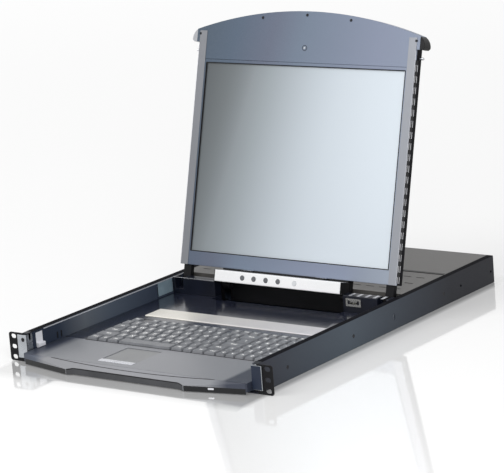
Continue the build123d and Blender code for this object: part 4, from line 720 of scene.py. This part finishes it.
def makeKeyboard(look):
    caps = {}
    fillers = []
    half = look["units"] * look["unit"] / 2
    for index, (row, (widths, legends)) in enumerate(keyRows.items()):
        low = row == "keys_function_row"
        top = look["lowTop"] if low else look["top"]
        step = 0 if row == "space_bar" else index
        depth = look["lowDepth"] if low else look["pitch"] - look["gap"]
        start = look["front"] + step * look["pitch"]
        middleY = start + look["lowGap"] + depth / 2 if low else start + look["pitch"] / 2
        place = -half
        pieces = []
        texts = []
        names = list(legends)
        for width in widths:
            span = abs(width) * look["unit"]
            if width > 0:
                size = (round(span - look["gap"], 3), depth, top)
                if size not in caps:
                    caps[size] = makeCap(*size, look)
                middle = (place + span / 2, middleY, 0)
                pieces.append(copyAt(caps[size], middle))
                name = names.pop(0) if names else ""
                if name:
                    scale = look["legendSize"] * (1 if len(name) == 1 else look["wordShare"])
                    spot = (middle[0], middleY + look["legendRise"], top - look["dish"] + look["legendClear"])
                    texts.append(makeLegend(name, spot, scale, look))
            elif low:
                # A gap between groups of function keys is closed by a block that stands on the base.
                gap, filled = look["fillerGap"], start + look["lowGap"]
                filler = addBlock("filler", (place + gap, filled, look["base"]),
                                  (place + span - gap, filled + depth, look["deck"] - look["fillerDrop"]))
                fillers.append(soften(filler, 0.4))
            place += span
        rowPiece = joined(pieces, "caps_" + row)
        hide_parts(row)
        fit(rowPiece, row, keyPlastic)
        if texts:
            fit(joined(texts, "legends_" + row), row, legendInk)
    for cap in caps.values():
        bpy.data.objects.remove(cap)
    fit(joined(fillers, "function_row_fillers"), "drawer", deckPaint)
    # A thin black line on the deck runs round the keyboard opening.
    rear = look["front"] + 5 * look["pitch"] + look["lowGap"] + look["lowDepth"]
    reach = look["line"]
    low, high = [look["deck"] + rise for rise in look["lineRise"]]
    line = makeRing("keyboard_outline", (-half - reach, look["front"] - reach, low),
                    (half + reach, rear + reach, high), reach)
    fit(line, "drawer", blackPlastic)


makeKeyboard(keyboard)
print("stage: keyboard")

# Deck.

deck = {
    "edge": 0.6, "seamHalf": 200.0, "seamY": (-14.9, -13.3), "seamHigh": (16.9, 17.56), "palmEnd": 80.4,
    # The lip's corners from left to right, its slope, and the front edge where the slope starts.
    "lip": [(-203.0, -14.1), (-107.0, -34.0), (-96.0, -30.0), (96.0, -30.0), (107.0, -34.0), (203.0, -14.1)],
    "lipSlope": 8.0 / 19.9, "lipFront": (-34.0, 9.5), "faceHalf": 108.0,
    "panelHigh": (1.3, 9.2), "panelInset": 0.9, "panelRise": 0.1,
    "lens": (150.0, -25.5), "lensSize": (9.0, 2.4), "lensLow": 5.4, "lensDepth": (-0.3, 0.6),
    # The curved line on the slope: its middle's place, how much it bends, its half length and its steps.
    "crease": (-21.5, 0.0003, 150.0, 12.5),
    "edgeShadeStroke": ((0.6, -0.08, -1.5), (-0.6, 0.5, 0.12)),
    "creaseStroke": ((-0.05, -0.55, -0.3), (0.05, 0.55, 0.3)),
    "ribs": [132.0, 146.5, 161.0, 175.5, 190.0], "rib": (5.0, 350.6, 364.6), "ribRise": (-0.1, 0.3),
    "blockTop": 43.2, "blockEdge": 0.5, "blockGlintX": (-203.5, -122.5), "blockGlintY": (350.2, 351.2),
    "blockGlintHigh": (43.1, 43.35),
    "usbX": (127.5, 154.5), "usbY": (349.1, 350.1), "usbHigh": (26.8, 39.2), "usbBorder": 3.2,
    "wellShadeX": (-116.0, 116.0), "wellShadeY": (383.6, 384.4), "wellShadeHigh": (4.3, 33.5),
}


def makeDeck(look):
    tray = softCopy("top_deck", "deck_tray", look["edge"])
    fit(tray, "drawer", deckPaint)
    # The deck is cut just before the keys, and its palm rest gets the painted reflection.
    pick(tray)
    bpy.ops.object.mode_set(mode="EDIT")
    bpy.ops.mesh.select_all(action="SELECT")
    bpy.ops.mesh.bisect(plane_co=(0, look["palmEnd"] * mm, 0), plane_no=(0, 1, 0))
    bpy.ops.object.mode_set(mode="OBJECT")
    tray.data.materials.append(palmReflectionPaint)
    for face in tray.data.polygons:
        face.material_index = 1 if face.center.y < look["palmEnd"] * mm else 0
    lip = softCopy("front_handle", "handle_lip", look["edge"])
    fit(lip, "drawer", lipReflectionPaint)
    # Its front face between the knees is darker.
    lip.data.materials.append(lipFace)
    for face in lip.data.polygons:
        inFront = face.normal.y < -0.8 and abs(face.center.x) < look["faceHalf"] * mm
        face.material_index = 1 if inFront else 0
    half = look["seamHalf"]
    seam = addBlock("deck_seam", *zip((-half, half), look["seamY"], look["seamHigh"]))
    soften(seam, 0.05, 1)
    fit(seam, "drawer", palmReflectionPaint)
    # The lip's facets are gloss black, with the status lens in the right one, turned to the facet.
    panels = []
    low, high = look["panelHigh"]
    inset, rise = look["panelInset"], look["panelRise"]
    for (x0, y0), (x1, y1) in (look["lip"][:2], look["lip"][-2:]):
        turn = Matrix.Rotation(math.atan2(y1 - y0, x1 - x0), 4, "Z")
        panel = addBlock("facet_panel", (inset, -rise, low), (math.hypot(x1 - x0, y1 - y0) - inset, rise, high))
        soften(panel, 0.08, 1)
        panel.data.transform(Matrix.Translation(Vector((x0, y0, 0)) * mm) @ turn)
        panels.append(panel)
    fit(joined(panels, "facet_panels"), "drawer", lipGloss)
    wide, high = look["lensSize"]
    low, (front, rear) = look["lensLow"], look["lensDepth"]
    lens = addBlock("status_lens", (-wide / 2, front, low), (wide / 2, rear, low + high))
    soften(lens, 0.25)
    lens.data.transform(Matrix.Translation(Vector((*look["lens"], 0)) * mm) @ turn)
    fit(lens, "drawer", whitePom)
    # A thin black line follows the lip's front top edge through its knees, painted shade along that edge, and a
    # curved one lies on its slope.
    frontY, frontZ = look["lipFront"]
    middle, bend, reach, step = look["crease"]
    spots = [-reach + step * count for count in range(int(2 * reach / step) + 1)]
    curve = [(x, middle + bend * x * x) for x in spots]
    strokes = [(pair, look["edgeShadeStroke"]) for pair in zip(look["lip"][1:-2], look["lip"][2:-1])]
    strokes += [(pair, look["creaseStroke"]) for pair in zip(curve[:-1], curve[1:])]
    edges = []
    for ((x0, y0), (x1, y1)), (start, end) in strokes:
        z0 = frontZ + (y0 - frontY) * look["lipSlope"]
        z1 = frontZ + (y1 - frontY) * look["lipSlope"]
        run = Vector((x1 - x0, y1 - y0, z1 - z0))
        edge = addBlock("lip_edge", start, (run.length + end[0], *end[1:]))
        soften(edge, 0.1, 1)
        flat = Vector((run.x, run.y, 0))
        turn = Matrix.Rotation(math.atan2(run.y, run.x), 4, "Z") @ Matrix.Rotation(
            -math.atan2(run.z, flat.length), 4, "Y")
        edge.data.transform(Matrix.Translation(Vector((x0, y0, z0)) * mm) @ turn)
        edges.append(edge)
    fit(joined(edges, "lip_lines"), "drawer", blackPlastic)
    ribs = []
    wide, ribFront, ribRear = look["rib"]
    low, high = [look["blockTop"] + rise for rise in look["ribRise"]]
    rib = addBlock("rib", (0, ribFront, low), (wide, ribRear, high))
    soften(rib, 0.15, 1)
    for first in look["ribs"]:
        ribs.append(copyAt(rib, (first, 0, 0)))
    bpy.data.objects.remove(rib)
    # The pale line along the left block's top edge is a painted highlight.
    line = addBlock("block_edge_highlight", *zip(look["blockGlintX"], look["blockGlintY"], look["blockGlintHigh"]))
    ribs.append(soften(line, 0.1, 1))
    fit(joined(ribs, "block_ribs"), "drawer", silverPaint)
    usb = makeRing("usb_frame", *zip(look["usbX"], look["usbY"], look["usbHigh"]), look["usbBorder"], "Y")
    fit(usb, "drawer", nickel)
    # A black plate in the well under the bar is painted shade there.
    wellShade = addBlock("well_shade_plate", *zip(look["wellShadeX"], look["wellShadeY"], look["wellShadeHigh"]))
    soften(wellShade, 0.2)
    fit(wellShade, "drawer", blackPlastic)
    for hand in ("left", "right"):
        blockPiece = softCopy("corner_block_" + hand, "corner_cap_" + hand, look["blockEdge"])
        fit(blockPiece, "drawer", blockPlastic)


makeDeck(deck)
print("stage: deck")

# Walls, ears and slides.

walls = {
    "wallGlintX": (205.0, 206.2), "wallGlintY": (36.0, 384.0), "wallGlintHigh": (41.2, 42.5), "ear": 0.45,
    "slots": (64.0, 73.0), "slotWide": 3.0, "slotX": (-205.3, -205.0), "slotHigh": (19.0, 29.0),
    "flangeX": (206.4, 223.7), "flangeY": (-3.5, -2.3), "flangeHigh": (6.0, 41.5),
    "lockHole": (-213.0, 34.0), "lockRadius": 3.2, "shadePadEdge": 1.2, "shadePadMargin": 0.5, "shadePadRise": (0.4, 0.1),
    "patchX": (-205.3, -204.9), "patchY": (312.0, 349.0), "patchHigh": (20.0, 41.0),
    "seamHalf": 204.0, "seamY": (505.2, 511.5), "seamHigh": (43.5, 43.8),
    "linerX": (206.7, 216.5), "linerY": (10.0, 634.5), "linerHigh": (43.5, 43.68),
}


def makeWalls(look):
    # A pale strip along each drawer wall's top edge is a painted highlight.
    edges = addPair("wall_edge_highlight", look["wallGlintX"], look["wallGlintY"], look["wallGlintHigh"], 0.12, 1)
    fit(joined(edges, "wall_edge_highlights"), "drawer", silverPaint)
    # The latch plates' front flanges close on the ears: zinc on both sides, with a dark pad over most of the right
    # one as painted shade.
    flanges = addPair("flange", look["flangeX"], look["flangeY"], look["flangeHigh"], 0.3)
    inner, outer = look["flangeX"]
    front = look["flangeY"][0]
    low, high = look["flangeHigh"]
    holeX, holeZ = look["lockHole"]
    # The lock hole is a black disc: painted shade in the hole.
    lockHole = addRound("lock_hole", (holeX, front - 0.05, holeZ), look["lockRadius"], 0.3, 24, (math.pi / 2, 0, 0))
    soften(lockHole, 0.08, 1)
    fit(lockHole, "drawer", blackPlastic)
    fit(joined(flanges, "latch_flanges"), "drawer", zincPlate)
    margin, (proud, sunk) = look["shadePadMargin"], look["shadePadRise"]
    pad = addBlock("right_flange_shade_pad", (inner, front - proud, low + margin),
                   (outer - look["shadePadEdge"], front + sunk, high - margin))
    soften(pad, 0.2)
    fit(pad, "drawer", panCoat)
    patch = addBlock("slide_window", *zip(look["patchX"], look["patchY"], look["patchHigh"]))
    soften(patch, 0.1, 1)
    fit(patch, "drawer", blueZinc)
    # The wall's slots are black blocks: painted shade in the openings.
    slots = []
    for first in look["slots"]:
        slot = addBlock("slot", (look["slotX"][0], first, look["slotHigh"][0]),
                        (look["slotX"][1], first + look["slotWide"], look["slotHigh"][1]))
        slots.append(soften(slot, 0.12, 2))
    fit(joined(slots, "wall_slots"), "drawer", blackPlastic)
    liners = addPair("liner", look["linerX"], look["linerY"], look["linerHigh"], 0.06, 1)
    fit(joined(liners, "flange_liners"), "chassis", flangeLiner)
    half = look["seamHalf"]
    seam = addBlock("cover_gasket", *zip((-half, half), look["seamY"], look["seamHigh"]))
    soften(seam, 0.15)
    fit(seam, "chassis", blackPlastic)
    for hand in ("left", "right"):
        ear = softCopy("rack_ear_" + hand, "ear_" + hand, look["ear"])
        fit(ear, "chassis", earCoat)


makeWalls(walls)
print("stage: walls and ears")

# Rear connectors.

ports = {
    "first": -45.0, "pitch": 32.0, "count": 8, "z": 22.0, "face": 641.5, "shellDepth": 1.2,
    "insulator": (14.6, 6.0), "insulatorDepth": 0.3,
    "holeRadius": 0.55, "holeDepth": 0.1, "holeRise": 0.02, "holePitch": 2.29, "rowShift": (0.0, 0.6, 0.0),
    "rows": ((5, 2.0), (5, 0.0), (5, -2.0)),
    "jackSpread": 12.5, "jackRadius": 2.6, "jackLength": 5.0, "jackFace": 636.0, "jackWall": 1.0, "jackBore": 3.0,
}


def makePorts(look):
    floorY = look["face"] - look["shellDepth"]
    wide, high = look["insulator"]
    front = floorY + look["insulatorDepth"]
    plate = addBlock("insulator", (-wide / 2, floorY, -high / 2), (wide / 2, front, high / 2))
    soften(plate, 0.1, 1)
    # The pin holes are black discs: painted shade in the sockets.
    holes = []
    flat = (math.pi / 2, 0, 0)
    for (count, z), shift in zip(look["rows"], look["rowShift"]):
        for index in range(count):
            place = ((index - (count - 1) / 2) * look["holePitch"] + shift, front + look["holeRise"], z)
            holes.append(addRound("pin_hole", place, look["holeRadius"], look["holeDepth"], 10, flat))
    holeSet = joined(holes, "pin_holes")
    jack = addRound("jack_screw", (0, look["jackFace"] + look["jackLength"] / 2, 0),
                    look["jackRadius"], look["jackLength"], 6, flat)
    chooseFaces(jack, lambda face: face.normal.y > 0.9)
    bpy.ops.mesh.inset(thickness=look["jackWall"] * mm, depth=0)
    bpy.ops.mesh.extrude_region_move(TRANSFORM_OT_translate={"value": (0, -look["jackBore"] * mm, 0)})
    bpy.ops.object.mode_set(mode="OBJECT")
    soften(jack, 0.2, 1)
    plates = []
    sets = []
    jacks = []
    for index in range(look["count"]):
        x = look["first"] + index * look["pitch"]
        plates.append(copyAt(plate, (x, 0, look["z"])))
        sets.append(copyAt(holeSet, (x, 0, look["z"])))
        for side in (-1, 1):
            jacks.append(copyAt(jack, (x + side * look["jackSpread"], 0, look["z"])))
    for start in (plate, holeSet, jack):
        bpy.data.objects.remove(start)
    fit(joined(plates, "port_insulators"), "chassis", portBlue)
    fit(joined(sets, "port_pin_holes"), "chassis", blackPlastic)
    fit(joined(jacks, "port_jack_screws"), "chassis", nickel)


makePorts(ports)
print("stage: rear connectors")

# Stage, camera and lights.

studio = {
    "cameraPlace": (2.208, -2.634, 1.003),
    "right": (0.79864, 0.60182, 0.0),
    "back": (0.58575, -0.77731, 0.22956),
    "roll": -4.452,
    "lens": 177.66,
    "floorHalf": 6.0,
    "worldFill": 0.62,
    "floorTone": 0.66,
    "floorRoughness": 0.06,
    "floorIor": 1.8,
    "floorGlow": 0.26,
    "nearHalf": (0.217, 0.335), "nearMiddle": 0.3, "nearSide": 2.6, "nearFade": (0.018, 0.048),
    "nearMirror": 0.55, "nearShadeGlow": 0.12,
}


def makeStage(look):
    clearSelection()
    bpy.ops.mesh.primitive_plane_add(size=2 * look["floorHalf"], location=(0, 0, -0.0002))
    floor = settle(bpy.context.object)
    floor.name = "floor"
    material, tree, shader, place = newMaterial("floorWhiteGloss")
    shader.inputs["Base Color"].default_value = (look["floorTone"], look["floorTone"], look["floorTone"], 1)
    shader.inputs["Roughness"].default_value = look["floorRoughness"]
    shader.inputs["IOR"].default_value = look["floorIor"]
    path = addNode(tree, "ShaderNodeLightPath").outputs
    seen = addMath(tree, "MAXIMUM", path["Is Camera Ray"], path["Is Glossy Ray"])
    # The floor mirrors more close to the drawer, and the mirror fades with the distance from it; its glow is lower
    # there too, a painted contact shadow round the drawer.
    axes = addNode(tree, "ShaderNodeSeparateXYZ", links={"Vector": place}).outputs
    outside = addMath(tree, "SUBTRACT", addMath(tree, "ABSOLUTE", axes["X"]), look["nearHalf"][0])
    besides = addMath(tree, "MULTIPLY", outside, look["nearSide"])
    along = addMath(tree, "SUBTRACT", axes["Y"], look["nearMiddle"])
    beyond = addMath(tree, "SUBTRACT", addMath(tree, "ABSOLUTE", along), look["nearHalf"][1])
    away = addMath(tree, "MAXIMUM", besides, beyond)
    mirror = addRange(tree, away, look["nearFade"], (look["nearMirror"], 0.0))
    tree.links.new(mirror, shader.inputs["Metallic"])
    shadedGlow = addRange(tree, away, look["nearFade"], (look["nearShadeGlow"], look["floorGlow"]))
    glow = addMath(tree, "MULTIPLY", seen, shadedGlow)
    shader.inputs["Emission Color"].default_value = (1, 1, 1, 1)
    tree.links.new(glow, shader.inputs["Emission Strength"])
    floor.data.materials.append(material)


def makeWorld(look):
    world = bpy.data.worlds.new("studio")
    bpy.context.scene.world = world
    world.use_nodes = True
    tree = world.node_tree
    tree.nodes.clear()
    path = addNode(tree, "ShaderNodeLightPath").outputs
    seen = addMath(tree, "MAXIMUM", path["Is Camera Ray"], path["Is Glossy Ray"])
    seenAll = addMath(tree, "MAXIMUM", seen, path["Is Transmission Ray"])
    strength = addRange(tree, seenAll, target=(look["worldFill"], 1.0))
    background = addNode(tree, "ShaderNodeBackground", {"Color": (1, 1, 1, 1)}, {"Strength": strength})
    output = addNode(tree, "ShaderNodeOutputWorld")
    tree.links.new(background.outputs[0], output.inputs["Surface"])


softboxes = {
    "keySoftbox": {"place": (-1.6, -1.8, 2.4), "target": (0, 0.2, 0.1), "size": 1.8, "watts": 40},
    "rightSoftbox": {"place": (1.1, -0.9, 0.75), "target": (0.1, 0.2, 0.15), "size": 0.6, "watts": 9},
}


def addSoftbox(name, look):
    lamp = bpy.data.lights.new(name, "AREA")
    lamp.shape = "RECTANGLE"
    lamp.size = lamp.size_y = look["size"]
    lamp.energy = look["watts"]
    box = bpy.data.objects.new(name, lamp)
    bpy.context.scene.collection.objects.link(box)
    box.location = look["place"]
    aim = Vector(look["target"]) - Vector(look["place"])
    box.rotation_euler = aim.to_track_quat("-Z", "Y").to_euler()


def makeCamera(look):
    data = bpy.data.cameras.new("photoCamera")
    data.lens = look["lens"]
    data.sensor_width = 36
    data.sensor_fit = "HORIZONTAL"
    data.clip_end = 50
    camera = bpy.data.objects.new("photoCamera", data)
    bpy.context.scene.collection.objects.link(camera)
    right = Vector(look["right"])
    back = Vector(look["back"])
    up = back.cross(right)
    roll = math.radians(look["roll"])
    side = right * math.cos(roll) + up * math.sin(roll)
    top = up * math.cos(roll) - right * math.sin(roll)
    turn = Matrix((side, top, back)).transposed().to_4x4()
    camera.matrix_world = Matrix.Translation(look["cameraPlace"]) @ turn
    bpy.context.scene.camera = camera


makeStage(studio)
makeWorld(studio)
makeCamera(studio)
for softbox, softboxLook in softboxes.items():
    addSoftbox(softbox, softboxLook)
bpy.context.scene.view_settings.view_transform = "Standard"
print("stage: floor, world, camera and lamps")
